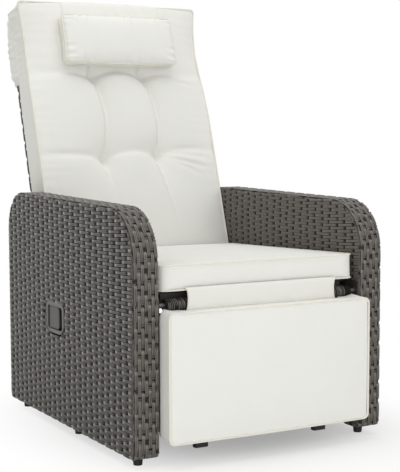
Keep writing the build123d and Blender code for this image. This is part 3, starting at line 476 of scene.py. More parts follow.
@dataclass(frozen=True)
class Strands:
    """A tree of Geometry Nodes that turns guide lines into woven or plain strands."""

    width: float
    thickness: float
    rise: float = 0.0
    dip: float = 0.0
    period: float = 0.06
    step: float = 0.0055
    hole: float = 0.09
    slope: float = 0.075
    wander: float = 0.0
    gather: float = 0.65
    # how strongly a highlight is painted beside each dip
    painted_highlight: float = 0.0
    # the piece's paleness; on the arms it also paints light and shade by face
    tone_and_painted_light: float = 0.1
    section: Section = Section.RIBBED

    def sizes(self) -> dict[str, float]:
        """The tree's named inputs, with how high the wave is at a hole's edge and rim."""
        near = 0.5 + 0.5 * math.cos(math.pi * self.hole)
        far = 0.5 + 0.5 * math.cos(math.pi * (self.hole + 2 * self.slope))
        return {"Width": self.width, "Thickness": self.thickness, "Rise": self.rise,
                "Dip": self.dip, "Period": self.period, "Step": self.step, "Sunk": near,
                "Level": far, "Wander": self.wander, "Gather": self.gather,
                "Painted_Highlight": self.painted_highlight, "Tone_And_Painted_Light": self.tone_and_painted_light}

    def tree(self, material: bpy.types.Material) -> bpy.types.NodeTree:
        """Builds the tree.

        Args:
            material: what the strands are made of.

        Returns:
            The node group, whose named inputs are the strand's sizes.
        """
        group = bpy.data.node_groups.new("strands_along_guides", "GeometryNodeTree")
        face = group.interface
        face.new_socket("Geometry", in_out="INPUT", socket_type="NodeSocketGeometry")
        for name in self.sizes():
            face.new_socket(name, in_out="INPUT", socket_type="NodeSocketFloat")
        face.new_socket("Geometry", in_out="OUTPUT", socket_type="NodeSocketGeometry")
        wires = Wiring(group)
        sizes = wires.node("NodeGroupInput").outputs
        size = {name: Value(wires, sizes[name]) for name in self.sizes()}
        curve = wires.node("GeometryNodeMeshToCurve", {}, {0: sizes["Geometry"]}).outputs[0]
        cut = wires.node("GeometryNodeResampleCurve", {"mode": "LENGTH"},
                         {"Curve": curve, "Length": size["Step"]}).outputs[0]
        row = wires.value("GeometryNodeInputNamedAttribute", {"data_type": "FLOAT"},
                          {"Name": "row"})
        away = wires.node("GeometryNodeInputNamedAttribute", {"data_type": "FLOAT_VECTOR"},
                          {"Name": "away"}).outputs[0]
        run = wires.value("GeometryNodeSplineParameter", {}, {}, "Length")
        turn = 2 * math.pi
        even = run + row * size["Period"] * 0.5
        crowd = (even / size["Period"] * turn).math("SINE") * size["Gather"] * size["Period"]
        inner = wires.node("GeometryNodeCurveEndpointSelection").outputs[0]
        place = even + crowd * (1 - Value(wires, inner)) / turn
        sampled = wires.node("GeometryNodeSampleCurve", {"mode": "LENGTH"},
                             {"Curves": curve, "Length": place - row * size["Period"] * 0.5,
                              "Curve Index": self.spline_number(wires)})
        marked = self.mark(wires, cut, "along", place)
        phase = place / size["Period"] * turn
        skewed = phase + 0.5 * (1 + phase.math("COSINE"))
        wave = 0.5 - skewed.math("COSINE") * 0.5
        # painted highlight: a pale patch at a fixed point of each wave, on the rise after a dip
        painted_highlight_mask = (phase - 2.05).math("COSINE").math("MAXIMUM", 0.0) ** 7.0
        marked = self.mark(wires, marked, "painted_highlight", painted_highlight_mask * size["Painted_Highlight"])
        sunk = wires.value("ShaderNodeMapRange", {"interpolation_type": "SMOOTHSTEP"},
                           {"Value": wave, "From Min": size["Level"], "From Max": size["Sunk"]})
        marked = self.mark(wires, marked, "sunk", sunk)
        # each row's random paleness is added to the piece's tone, which carries its painted light
        # and shade
        chance = wires.node("FunctionNodeRandomValue", {"data_type": "FLOAT"},
                            {"ID": (row * 7.0).socket, "Seed": 4})
        toned = self.mark(wires, marked, "tone_and_painted_light",
                          size["Tone_And_Painted_Light"] + Value(wires, chance.outputs[1]) * 0.3)
        sunk = wires.value("GeometryNodeInputNamedAttribute", {"data_type": "FLOAT"},
                           {"Name": "sunk"})
        laid = wires.node("GeometryNodeSetPosition", {},
                          {"Geometry": toned, "Position": sampled.outputs["Position"]})
        lift = size["Rise"] - (size["Rise"] + size["Dip"]) * sunk
        unevenness = wires.value("ShaderNodeTexNoise", {"noise_dimensions": "3D"},
                                 {"Scale": 22.0, "Detail": 1.0})
        sway = (unevenness - 0.5) * size["Wander"]
        tangent = wires.node("GeometryNodeInputTangent").outputs[0]
        side = wires.node("ShaderNodeVectorMath", {"operation": "CROSS_PRODUCT"},
                          {0: tangent, 1: away})
        raised = wires.node("ShaderNodeVectorMath", {"operation": "SCALE"},
                            {0: away, "Scale": lift})
        swayed = wires.node("ShaderNodeVectorMath", {"operation": "SCALE"},
                            {0: side.outputs[0], "Scale": sway})
        shift = wires.node("ShaderNodeVectorMath", {"operation": "ADD"},
                           {0: raised.outputs[0], 1: swayed.outputs[0]})
        moved = wires.node("GeometryNodeSetPosition", {},
                           {"Geometry": laid.outputs[0], "Offset": shift.outputs[0]})
        turned = wires.node("GeometryNodeSetCurveNormal", {"mode": "FREE"},
                            {"Curve": moved.outputs[0], "Normal": away})
        swept = wires.node("GeometryNodeCurveToMesh", {},
                           {"Curve": turned.outputs[0], "Profile Curve": self.ring(wires, size),
                            "Fill Caps": True})
        smooth = wires.node("GeometryNodeSetShadeSmooth", {}, {"Geometry": swept.outputs[0]})
        whole = wires.node("GeometryNodeRealizeInstances", {}, {0: smooth.outputs[0]})
        painted = wires.node("GeometryNodeSetMaterial", {},
                             {"Geometry": whole.outputs[0], "Material": material})
        wires.node("NodeGroupOutput", {}, {0: painted.outputs[0]})
        return group

    @staticmethod
    def spline_number(wires: Wiring) -> bpy.types.NodeSocket:
        """Which of the guides a point of the strands belongs to."""
        return wires.node("GeometryNodeCurveOfPoint").outputs["Curve Index"]

    @staticmethod
    def mark(wires: Wiring, geometry: bpy.types.NodeSocket, name: str,
             number: Value) -> bpy.types.NodeSocket:
        """Stores a number on every point under a name."""
        return wires.node("GeometryNodeStoreNamedAttribute",
                          {"data_type": "FLOAT", "domain": "POINT"},
                          {"Geometry": geometry, "Name": name, "Value": number}).outputs[0]

    def ring(self, wires: Wiring, size: dict[str, Value]) -> bpy.types.NodeSocket:
        """The cross section at full size, marked with how far across each point is."""
        corners = self.section.value
        circle = wires.node("GeometryNodeCurvePrimitiveCircle", {"mode": "RADIUS"},
                            {"Resolution": len(corners), "Radius": 1.0})
        number = wires.node("GeometryNodeInputIndex").outputs[0]
        choice = wires.node("GeometryNodeIndexSwitch", {"data_type": "VECTOR"},
                            {"Index": number})
        while len(choice.index_switch_items) < len(corners):
            choice.index_switch_items.new()
        for index, (height, across) in enumerate(corners):
            choice.inputs[index + 1].default_value = (height, across, 0.0)
        shaped = wires.node("GeometryNodeSetPosition", {},
                            {"Geometry": circle.outputs[0], "Position": choice.outputs[0]})
        place = wires.node("GeometryNodeInputPosition").outputs[0]
        axes = wires.node("ShaderNodeSeparateXYZ", {}, {0: place})
        marked = self.mark(wires, shaped.outputs[0], "across", Value(wires, axes.outputs[1]))
        flat = wires.node("ShaderNodeCombineXYZ", {},
                          {0: size["Thickness"] * 0.5, 1: size["Width"] * 0.5, 2: 1.0})
        return wires.node("GeometryNodeTransform", {},
                          {"Geometry": marked, "Scale": flat.outputs[0]}).outputs[0]

    def weave(self, name: str, guides: Iterable[Guide],
              material: bpy.types.Material) -> bpy.types.Object:
        """Makes one plain mesh of strands along the guides.

        Args:
            name: the piece's name.
            guides: the lines to follow.
            material: what the strands are made of.

        Returns:
            The finished piece.
        """
        points, edges, away, rows = [], [], [], []
        for guide in guides:
            first = len(points)
            points.extend(guide.points)
            away.extend(guide.away)
            rows.extend([guide.row] * len(guide.points))
            edges.extend((first + i, first + i + 1) for i in range(len(guide.points) - 1))
        mesh = bpy.data.meshes.new(name)
        mesh.from_pydata([tuple(p) for p in points], edges, [])
        ways = mesh.attributes.new("away", "FLOAT_VECTOR", "POINT")
        ways.data.foreach_set("vector", np.array([tuple(a) for a in away], np.float32).ravel())
        mesh.attributes.new("row", "FLOAT", "POINT").data.foreach_set(
            "value", np.array(rows, np.float32))
        obj = added(name, mesh)
        modifier = obj.modifiers.new("strands", "NODES")
        group = self.tree(material)
        modifier.node_group = group
        sizes = self.sizes()
        for item in group.interface.items_tree:
            if item.in_out == "INPUT" and item.name in sizes:
                modifier[item.identifier] = sizes[item.name]
        return plain(obj)


def added(name: str, data: bpy.types.ID) -> bpy.types.Object:
    """A new object of that data, linked to the scene."""
    obj = bpy.data.objects.new(name, data)
    bpy.context.scene.collection.objects.link(obj)
    return obj


def from_shell(name: str, shell: bmesh.types.BMesh) -> bpy.types.Object:
    """A new object of a shell, which is freed."""
    mesh = bpy.data.meshes.new(name)
    shell.to_mesh(mesh)
    shell.free()
    return added(name, mesh)


def refined(obj: bpy.types.Object) -> bpy.types.Object:
    """Subdivides an object once, applies its modifiers and shades it smooth."""
    finer = obj.modifiers.new("finer", "SUBSURF")
    finer.levels = finer.render_levels = 1
    plain(obj)
    for polygon in obj.data.polygons:
        polygon.use_smooth = True
    return obj


def plain(obj: bpy.types.Object) -> bpy.types.Object:
    """Turns an object with modifiers into a plain mesh of its result."""
    bpy.context.view_layer.update()
    graph = bpy.context.evaluated_depsgraph_get()
    mesh = bpy.data.meshes.new_from_object(obj.evaluated_get(graph))
    obj.modifiers.clear()
    old = obj.data
    obj.data = mesh
    bpy.data.meshes.remove(old)
    mesh.name = obj.name
    return obj


def ramp(value: np.ndarray, start: float, reach: float) -> np.ndarray:
    """A share that climbs from 0 at the start to 1 a reach further on."""
    return np.clip((value - start) / reach, 0, 1)


def bow(share: np.ndarray | float) -> np.ndarray | float:
    """How far along its bulge, from 0 to 1, a cushion is at a share of its length."""
    return 1.0 - (2.0 * share - 1.0) ** 2


@dataclass(frozen=True)
class ArmOutline:
    """The side outline of an arm: upright ends, a sloping top and round corners."""

    front_top: float = 0.567
    rear_top: float = 0.578
    underside: float = 0.022
    depth: float = 0.760
    front_radius: float = 0.118
    rear_radius: float = 0.096
    low_radius: float = 0.014
    arc_steps: int = 14

    @lru_cache
    def loop(self, inset: float) -> list[tuple[Vector, Vector]]:
        """The outline drawn in by inset.

        Args:
            inset: how far inside the arm's own outline, in metres.

        Returns:
            Points (0, y, z) once round from the front foot, each with its outward direction.
        """
        y0, y1 = FRONT_Y, FRONT_Y + self.depth
        corners = [(y0, self.underside, self.low_radius), (y0, self.front_top, self.front_radius),
                   (y1, self.rear_top, self.rear_radius), (y1, self.underside, self.low_radius)]
        found = []
        for index, (y, z, radius) in enumerate(corners):
            here = Vector((0, y, z))
            before = Vector((0, *corners[index - 1][:2])) - here
            after = Vector((0, *corners[(index + 1) % 4][:2])) - here
            half = before.angle(after) / 2
            inward = (before.normalized() + after.normalized()).normalized()
            centre = here + inward * (radius / math.sin(half))
            start = -self.across(before.normalized(), inward)
            finish = -self.across(after.normalized(), inward)
            for step in range(self.arc_steps + 1):
                way = start.slerp(finish, step / self.arc_steps)
                found.append((centre + way * max(radius - inset, 0.001), way))
        return found

    def inside(self, y: float, z: float, inset: float) -> bool:
        """Whether a point of the side view lies inside the outline."""
        span = self.span(z, inset)
        return span is not None and span[0] <= y <= span[1]

    @staticmethod
    def across(edge: Vector, inward: Vector) -> Vector:
        """The direction square to an edge, on the inward side."""
        square = Vector((0, -edge.z, edge.y))
        return square if square.dot(inward) > 0 else -square

    def span(self, z: float, inset: float) -> tuple[float, float] | None:
        """The first and last y inside the outline at a height, or None outside it."""
        loop = [p for p, _ in self.loop(inset)]
        hits = []
        for a, b in zip(loop, loop[1:] + loop[:1]):
            if (a.z - z) * (b.z - z) < 0:
                hits.append(a.y + (b.y - a.y) * (z - a.z) / (b.z - a.z))
        return (min(hits), max(hits)) if len(hits) > 1 else None


def walk(loop: list[tuple[Vector, Vector]], step: float) -> list[tuple[Vector, Vector]]:
    """Points with their outward directions at even steps once round a closed loop."""
    found, reach, travelled = [], 0.0, 0.0
    for (a, way_a), (b, way_b) in zip(loop, loop[1:] + loop[:1]):
        length = (b - a).length
        while length > 0 and reach <= travelled + length:
            share = (reach - travelled) / length
            found.append((a.lerp(b, share), way_a.lerp(way_b, share).normalized()))
            reach += step
        travelled += length
    return found


def prism(name: str, outline: list[Vector], depth: Vector) -> bpy.types.Object:
    """A closed block with straight sides.

    Args:
        name: the object's name.
        outline: its first face, a convex loop of points.
        depth: the way and distance to the face opposite.

    Returns:
        The object, with its faces pointing outwards.
    """
    shell = bmesh.new()
    near = [shell.verts.new(p) for p in outline]
    far = [shell.verts.new(p + depth) for p in outline]
    shell.faces.new(near)
    shell.faces.new(list(reversed(far)))
    for i in range(len(outline)):
        j = (i + 1) % len(outline)
        shell.faces.new((near[i], far[i], far[j], near[j]))
    bmesh.ops.recalc_face_normals(shell, faces=shell.faces)
    return from_shell(name, shell)


@dataclass(frozen=True)
class Opening:
    """A hole in a woven face: an upright box with round corners."""

    y: tuple[float, float]
    z: tuple[float, float]
    high_radius: float = 0.0
    low_radius: float = 0.0

    def holds(self, y: float, z: float) -> bool:
        """Whether a point of the face lies in the hole."""
        aside = max(y - self.y[1], self.y[0] - y)
        above = max(z - self.z[1], self.z[0] - z)
        radius = self.high_radius if z > sum(self.z) / 2 else self.low_radius
        rest = math.hypot(max(aside + radius, 0.0), max(above + radius, 0.0))
        return aside <= 0 and above <= 0 and rest <= radius


@dataclass
class WovenArm:
    """The strands on one arm: both faces, the band round its edge and the corner strands."""

    side: int
    palette: Palette
    outline: ArmOutline = ArmOutline()
    outer_pitch: float = 0.0079
    inner_pitch: float = 0.0074
    band_pitch: float = 0.0081
    period: float = 0.064
    band_period: float = 0.047
    rise: float = 0.0014
    dip: float = 0.0036
    corner_inset: float = 0.0022
    backing_inset: float = 0.0048
    edge_inset: float = 0.0015
    hop: float = 0.002
    lift: float = 0.0135
    lift_from: float = 0.20
    lift_height: float = 0.27
    lift_power: float = 1.3
    lift_reach: float = 0.12
    # painted light and shade: the outer faces' strands are toned darker and the inner faces'
    # paler, for how the light falls on them
    outer_painted_shade: float = -0.35
    # painted highlights beside the dips: full on the outer faces, faint on the inner ones
    outer_painted_highlight: float = 1.0
    inner_painted_light: float = 0.85
    inner_painted_highlight: float = 0.2
    cup_margin: float = 0.007
    bezel_gap: float = 0.0020
    bezel_high_radius: float = 0.016
    bezel_low_radius: float = 0.030

    def name(self, part: str) -> str:
        """A piece's name on this arm."""
        return f"{'left' if self.side < 0 else 'right'}_arm_{part}"

    def drift(self, y: float, z: float) -> float:
        """How far a hand-laid row has crept up towards the front edge, in metres."""
        height = max(z - self.lift_from, 0.0) / self.lift_height
        return self.lift * height ** self.lift_power * math.exp(-(y - FRONT_Y) / self.lift_reach)

    def face(self, x: float, way: int, pitch: float, hole: Opening | None, part: str,
             tone_and_painted_light: float, painted_highlight: float) -> bpy.types.Object:
        """Weaves one upright face.

        Args:
            x: the face's place across the chair.
            way: 1 where it looks along +X, else -1.
            pitch: the distance from row to row.
            hole: what no strand crosses, or None.
            part: the end of the piece's name.
            tone_and_painted_light: how pale the strands are, 0 for the plain finish; set per face,
                it also paints light and shade onto the face.
            painted_highlight: how strongly a highlight is painted on the rise beside each dip,
                from 0 to 1.

        Returns:
            The woven piece.
        """
        guides = []
        away = Vector((way, 0, 0))
        steps = int(self.outline.depth / self.hop)
        for row in range(int((self.outline.rear_top - self.outline.underside) / pitch)):
            level = self.outline.underside + (row + 0.6) * pitch
            run: list[Vector] = []
            for step in range(steps + 2):
                y = FRONT_Y + step * self.hop
                z = level + self.drift(y, level)
                shown = self.outline.inside(y, z, self.edge_inset)
                if hole and hole.holds(y, z):
                    shown = False
                if shown:
                    run.append(Vector((x, y, z)))
                if run and (not shown or step == steps + 1):
                    if len(run) > 4:
                        phase = (run[0].y - FRONT_Y) / (self.period / 2)
                        uneven = 0.09 * math.sin(row * 2.4) + 0.05 * math.sin(row * 0.37)
                        guides.append(Guide(run, [away] * len(run), row + phase + uneven))
                    run = []
        strands = Strands(pitch * 0.98, 0.0018, self.rise, self.dip, period=self.period,
                          wander=0.0016, hole=0.07, slope=0.045, painted_highlight=painted_highlight, tone_and_painted_light=tone_and_painted_light)
        return strands.weave(self.name(part), guides, self.palette.strand)

    def band(self) -> list[bpy.types.Object]:
        """Weaves the strands that run round the arm's edge and those that cross them."""
        inner, outer = ARM_INNER, ARM_OUTER
        count = int((outer - inner) / self.band_pitch)
        loop = self.outline.loop(0.0)
        points = walk(loop, 0.006)
        guides = []
        for index in range(count):
            x = self.side * (inner + (index + 0.5) * (outer - inner) / count)
            line = points + points[:1]
            guides.append(Guide([p + Vector((x, 0, 0)) for p, _ in line],
                                [way for _, way in line], index + 0.12 * math.sin(index * 2.1)))
        # the band's strands are toned paler for the light on the front edge, painted light, and
        # get painted highlights beside their dips
        strands = Strands((outer - inner) / count * 1.02, 0.0018, self.rise, self.dip,
                          period=self.band_period, wander=0.0012, hole=0.10, slope=0.08,
                          painted_highlight=0.45, tone_and_painted_light=0.55)
        made = [strands.weave(self.name("edge_band"), guides, self.palette.strand)]
        crossing = []
        for index, (point, way) in enumerate(walk(loop, self.band_period / 2)):
            ends = [point + Vector((self.side * x, 0, 0)) for x in (inner + 0.003, outer - 0.003)]
            crossing.append(Guide(ends, [way, way], index))
        flat = Strands(0.0085, 0.0016, -0.0007, 0.0007, step=0.012, gather=0.0)
        made.append(flat.weave(self.name("edge_crossings"), crossing, self.palette.strand))
        return made

    def corners(self) -> bpy.types.Object:
        """Lays a strand round each long corner between a face and the band."""
        guides = []
        points = walk(self.outline.loop(self.corner_inset), 0.006)
        line = points + points[:1]
        for x, way in ((ARM_INNER, 1), (ARM_OUTER, -1)):
            across = Vector((-self.side * way, 0, 0))
            place = Vector((self.side * (x + way * self.corner_inset), 0, 0))
            guides.append(Guide([p + place for p, _ in line],
                                [(w + across).normalized() for _, w in line], 0.3 * way))
        strands = Strands(0.0104, 0.0026, 0.0003, -0.0003, wander=0.0008, gather=0.0)
        return strands.weave(self.name("corner_strands"), guides, self.palette.strand)

    def backing(self, hole: Opening | None) -> bpy.types.Object:
        """A near-black shell that paints the shade inside the arm between the strands, open behind
        the handle's cup.
        """
        inner, outer = ARM_INNER, ARM_OUTER
        start = Vector((self.side * (inner + self.backing_inset), 0, 0))
        depth = Vector((self.side * (outer - inner - 2 * self.backing_inset), 0, 0))
        points = [p + start for p, _ in walk(self.outline.loop(self.backing_inset), 0.02)]
        shell = prism(self.name("backing"), points, depth)
        if hole:
            (y0, y1), (z0, z1) = hole.y, hole.z
            reach = self.side * outer * 1.1
            square = [Vector((reach, y, z)) for y, z in ((y0, z0), (y1, z0), (y1, z1), (y0, z1))]
            cutter = prism("cup_opening", square, Vector((-self.side * 0.045 - reach * 0.1, 0, 0)))
            cut = shell.modifiers.new("opening", "BOOLEAN")
            cut.operation = "DIFFERENCE"
            cut.object = cutter
            plain(shell)
            bpy.data.objects.remove(cutter)
        self.palette.dress(shell, self.palette.by_slot["wicker"])
        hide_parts("left_arm_weave" if self.side < 0 else "right_arm_weave")
        return shell

    def build(self) -> list[bpy.types.Object]:
        """Weaves the whole arm and sets it on the base."""
        cup_low, cup_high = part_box("handle_cup")
        margin, gap = self.cup_margin, self.bezel_gap
        cup = Opening((cup_low.y + margin, cup_high.y - margin),
                      (cup_low.z + margin, cup_high.z - margin))
        bezel = Opening((cup_low.y - 3 * gap, cup_high.y + gap),
                        (cup_low.z - gap, cup_high.z + gap),
                        self.bezel_high_radius + gap, self.bezel_low_radius + gap)
        plate_low, plate_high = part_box("left_side_plate")
        plate = Opening((plate_low.y, plate_high.y), (plate_low.z, plate_high.z))
        left = self.side < 0
        pieces = [self.backing(cup if left else None),
                  self.face(self.side * ARM_OUTER, self.side, self.outer_pitch,
                            bezel if left else None, "outer_strands", self.outer_painted_shade,
                            self.outer_painted_highlight),
                  self.face(self.side * ARM_INNER, -self.side, self.inner_pitch, plate,
                            "inner_strands", self.inner_painted_light, self.inner_painted_highlight),
                  *self.band(), self.corners()]
        for piece in pieces:
            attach(piece, "base")
        return pieces


@dataclass
class WovenPanel:
    """Strands on a flat panel: rows over one face and lines round its edge."""

    node: str
    body: str
    place: Place
    low: float
    high: float
    half_width: float
    face: float
    way: int
    thickness: float
    corner: float
    corner_high: bool
    palette: Palette
    covered: float = 1.0
    pitch: float = 0.0077
    period: float = 0.064
    rise: float = 0.0014
    dip: float = 0.0034
    backing_inset: float = 0.0045
    side_inset: float = 0.0030
    edge_pitch: float = 0.0084

    def half_at(self, along: float, inset: float) -> float:
        """Half the panel's width at a distance along it, drawn in by inset."""
        edge = self.high - along if self.corner_high else along - self.low
        if edge >= self.corner:
            return self.half_width - inset
        rest = self.corner - max(edge, 0.0)
        return self.half_width - self.corner + math.sqrt(self.corner ** 2 - rest ** 2) - inset

    def rows(self) -> bpy.types.Object:
        """Weaves the face."""
        turn = self.place.matrix()
        away = turn.to_3x3() @ Vector((0, 0, self.way))
        guides = []
        for row in range(int((self.high - self.low) / self.pitch)):
            along = self.low + (row + 0.5) * self.pitch
            half = self.half_at(along, 0.003)
            uneven = 0.09 * math.sin(row * 1.9) - half / (self.period / 2)
            guides.append(Guide([turn @ Vector((x, along, self.face)) for x in (-half, half)],
                                [away, away], row + uneven))
        strands = Strands(self.pitch * 0.98, 0.0018, self.rise, self.dip, period=self.period,
                          wander=0.0016)
        return strands.weave(f"{self.node}_strands", guides, self.palette.strand)

    def outline(self, inset: float, whole: bool) -> list[tuple[Vector, Vector]]:
        """The panel's outline in its own measures, each point with its outward direction.

        Args:
            inset: how far it is drawn in.
            whole: whether it includes what another cover hides.

        Returns:
            Points from one lower end round to the other.
        """
        steps = 10
        sign = 1 if self.corner_high else -1
        near, far = (self.low, self.high) if self.corner_high else (self.high, self.low)
        near, far = near + sign * inset, far - sign * inset
        half, corner = self.half_width - inset, self.corner - inset
        path = [(Vector((-half, near)), Vector((-1, 0)))]
        if not whole and self.covered < self.high:
            path.append((Vector((-half, self.covered)), Vector((-1, 0))))
            return path
        for step in range(steps + 1):
            angle = math.pi / 2 * step / steps
            way = Vector((-math.cos(angle), sign * math.sin(angle)))
            centre = Vector((-half + corner, far - sign * corner))
            path.append((centre + way * corner, way))
        return path + [(Vector((-p.x, p.y)), Vector((-w.x, w.y))) for p, w in reversed(path)]

    def edges(self) -> bpy.types.Object:
        """Weaves the lines round the edge, as far as they show."""
        turn = self.place.matrix()
        count = max(int(self.thickness / self.edge_pitch), 2)
        path = self.outline(0.0, False)
        sides = [path]
        if self.covered < self.high:
            sides.append([(Vector((-p.x, p.y)), Vector((-w.x, w.y))) for p, w in path])
        guides = []
        for line in sides:
            for index in range(count):
                out = self.face - self.way * self.thickness * (index + 0.5) / count
                guides.append(Guide([turn @ Vector((p.x, p.y, out)) for p, _ in line],
                                    [turn.to_3x3() @ Vector((w.x, w.y, 0)) for _, w in line],
                                    index))
        strands = Strands(self.thickness / count * 1.02, 0.0018, 0.0008, 0.0018,
                          period=0.047, wander=0.0006)
        return strands.weave(f"{self.node}_edge_strands", guides, self.palette.strand)

    def backing(self) -> bpy.types.Object:
        """A near-black shell that paints the shade inside the panel between the strands."""
        turn = self.place.matrix()
        inset = self.backing_inset
        start = self.face - self.way * inset
        points = [turn @ Vector((p.x, p.y, start))
                  for p, _ in self.outline(self.side_inset, True)]
        depth = turn.to_3x3() @ Vector((0, 0, -self.way * (self.thickness - 0.0005 - inset)))
        shell = prism(f"{self.node}_backing", points, depth)
        self.palette.dress(shell, self.palette.by_slot["wicker"])
        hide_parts(self.node)
        return shell

    def build(self) -> list[bpy.types.Object]:
        """Weaves the panel and sets it on its body."""
        pieces = [self.rows(), self.edges(), self.backing()]
        for piece in pieces:
            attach(piece, self.body)
        return pieces


@dataclass
class RailWrap:
    """A strand wound round the footrest's top rail."""

    palette: Palette
    pitch: float = 0.0088

    def build(self) -> bpy.types.Object:
        """Winds the strand over its tube."""
        low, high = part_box("footrest_rail_wrap")
        y, z = (low.y + high.y) / 2, (low.z + high.z) / 2
        radius = (high.z - low.z) / 2
        turns = (high.x - low.x - self.pitch) / self.pitch
        steps = 12
        points, away = [], []
        for index in range(int(turns * steps) + 1):
            angle = 2 * math.pi * index / steps
            way = Vector((0, math.cos(angle), math.sin(angle)))
            x = low.x + self.pitch / 2 + index * self.pitch / steps
            points.append(Vector((x, y, z)) + way * radius)
            away.append(way)
        wound = Strands(self.pitch * 0.96, 0.0022, step=0.006, gather=0.0)
        piece = wound.weave("footrest_rail_strand", [Guide(points, away)], self.palette.strand)
        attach(piece, "footrest")
        return piece


@dataclass(frozen=True)
class Quilting:
    """The tufts of a cushion's face and the creases between them."""

    tufts: tuple[tuple[float, float], ...]
    upright_depth: float = 0.023
    upright_right: float = 0.026
    upright_left: float = 0.0045
    upright_bend: float = 0.022
    upright_bend_below: float = 0.030
    fade_above: float = 0.22
    fade_below: float = 0.30
    level_depths: tuple[float, float] = (0.016, 0.019)
    level_fades: tuple[float, float] = (1.0, 0.7)
    level_above: float = 0.034
    level_below: float = 0.008
    level_reach: float = 0.11
    arch: float = 0.016
    arch_beside: float = 0.010
    arch_reach: float = 0.05
    tuft_depth: float = 0.017
    tuft_reach: float = 0.018

    def uprights(self, x: np.ndarray, y: np.ndarray) -> np.ndarray:
        """The depth of the creases that run up from tuft to tuft and on past them."""
        depth = np.zeros_like(x)
        low_left, low_right, high_left, high_right = self.tufts
        middle = (y - low_left[1]) / (high_left[1] - low_left[1])
        past = (np.maximum(middle - 1.0, 0.0) / self.fade_above
                + np.maximum(-middle, 0.0) / self.fade_below)
        for low, high in ((low_left, high_left), (low_right, high_right)):
            # an upright crease bows towards the chair's right
            line = low[0] + (high[0] - low[0]) * middle
            bend = (self.upright_bend * np.clip(bow(middle), 0, 1)
                    + self.upright_bend_below * np.maximum(-middle, 0.0))
            aside = x - line - bend
            wide = np.where(aside > 0, self.upright_right, self.upright_left)
            depth += self.upright_depth * np.exp(-past) * np.exp(-np.abs(aside) / wide)
        return depth

    def levels(self, x: np.ndarray, y: np.ndarray, depth: np.ndarray) -> np.ndarray:
        """Adds to a depth the creases that arch across between tufts and run out beside them."""
        low_left, low_right, high_left, high_right = self.tufts
        pairs = ((low_left, low_right), (high_left, high_right))
        for (left, right), fade, deep in zip(pairs, self.level_fades, self.level_depths):
            share = (x - left[0]) / (right[0] - left[0])
            level = left[1] + (right[1] - left[1]) * np.clip(share, 0, 1)
            arch = self.arch * np.clip(bow(share), 0, 1)
            off = np.maximum(np.maximum(-share, share - 1.0), 0.0) * (right[0] - left[0])
            arch = arch + self.arch_beside * np.minimum(off / self.arch_reach, 1.0)
            over = y - level - arch
            wide = np.where(over > 0, self.level_above, self.level_below)
            depth += deep * np.exp(-fade * off / self.level_reach) * np.exp(-np.abs(over) / wide)
        return depth

    def depth(self, x: np.ndarray, y: np.ndarray) -> np.ndarray:
        """How deep the tufts and their creases pull the face in, in metres."""
        near = np.min([np.hypot(x - tx, y - ty) for tx, ty in self.tufts], axis=0)
        creases = self.levels(x, y, self.uprights(x, y))
        return creases + self.tuft_depth * np.exp(-near / self.tuft_reach)


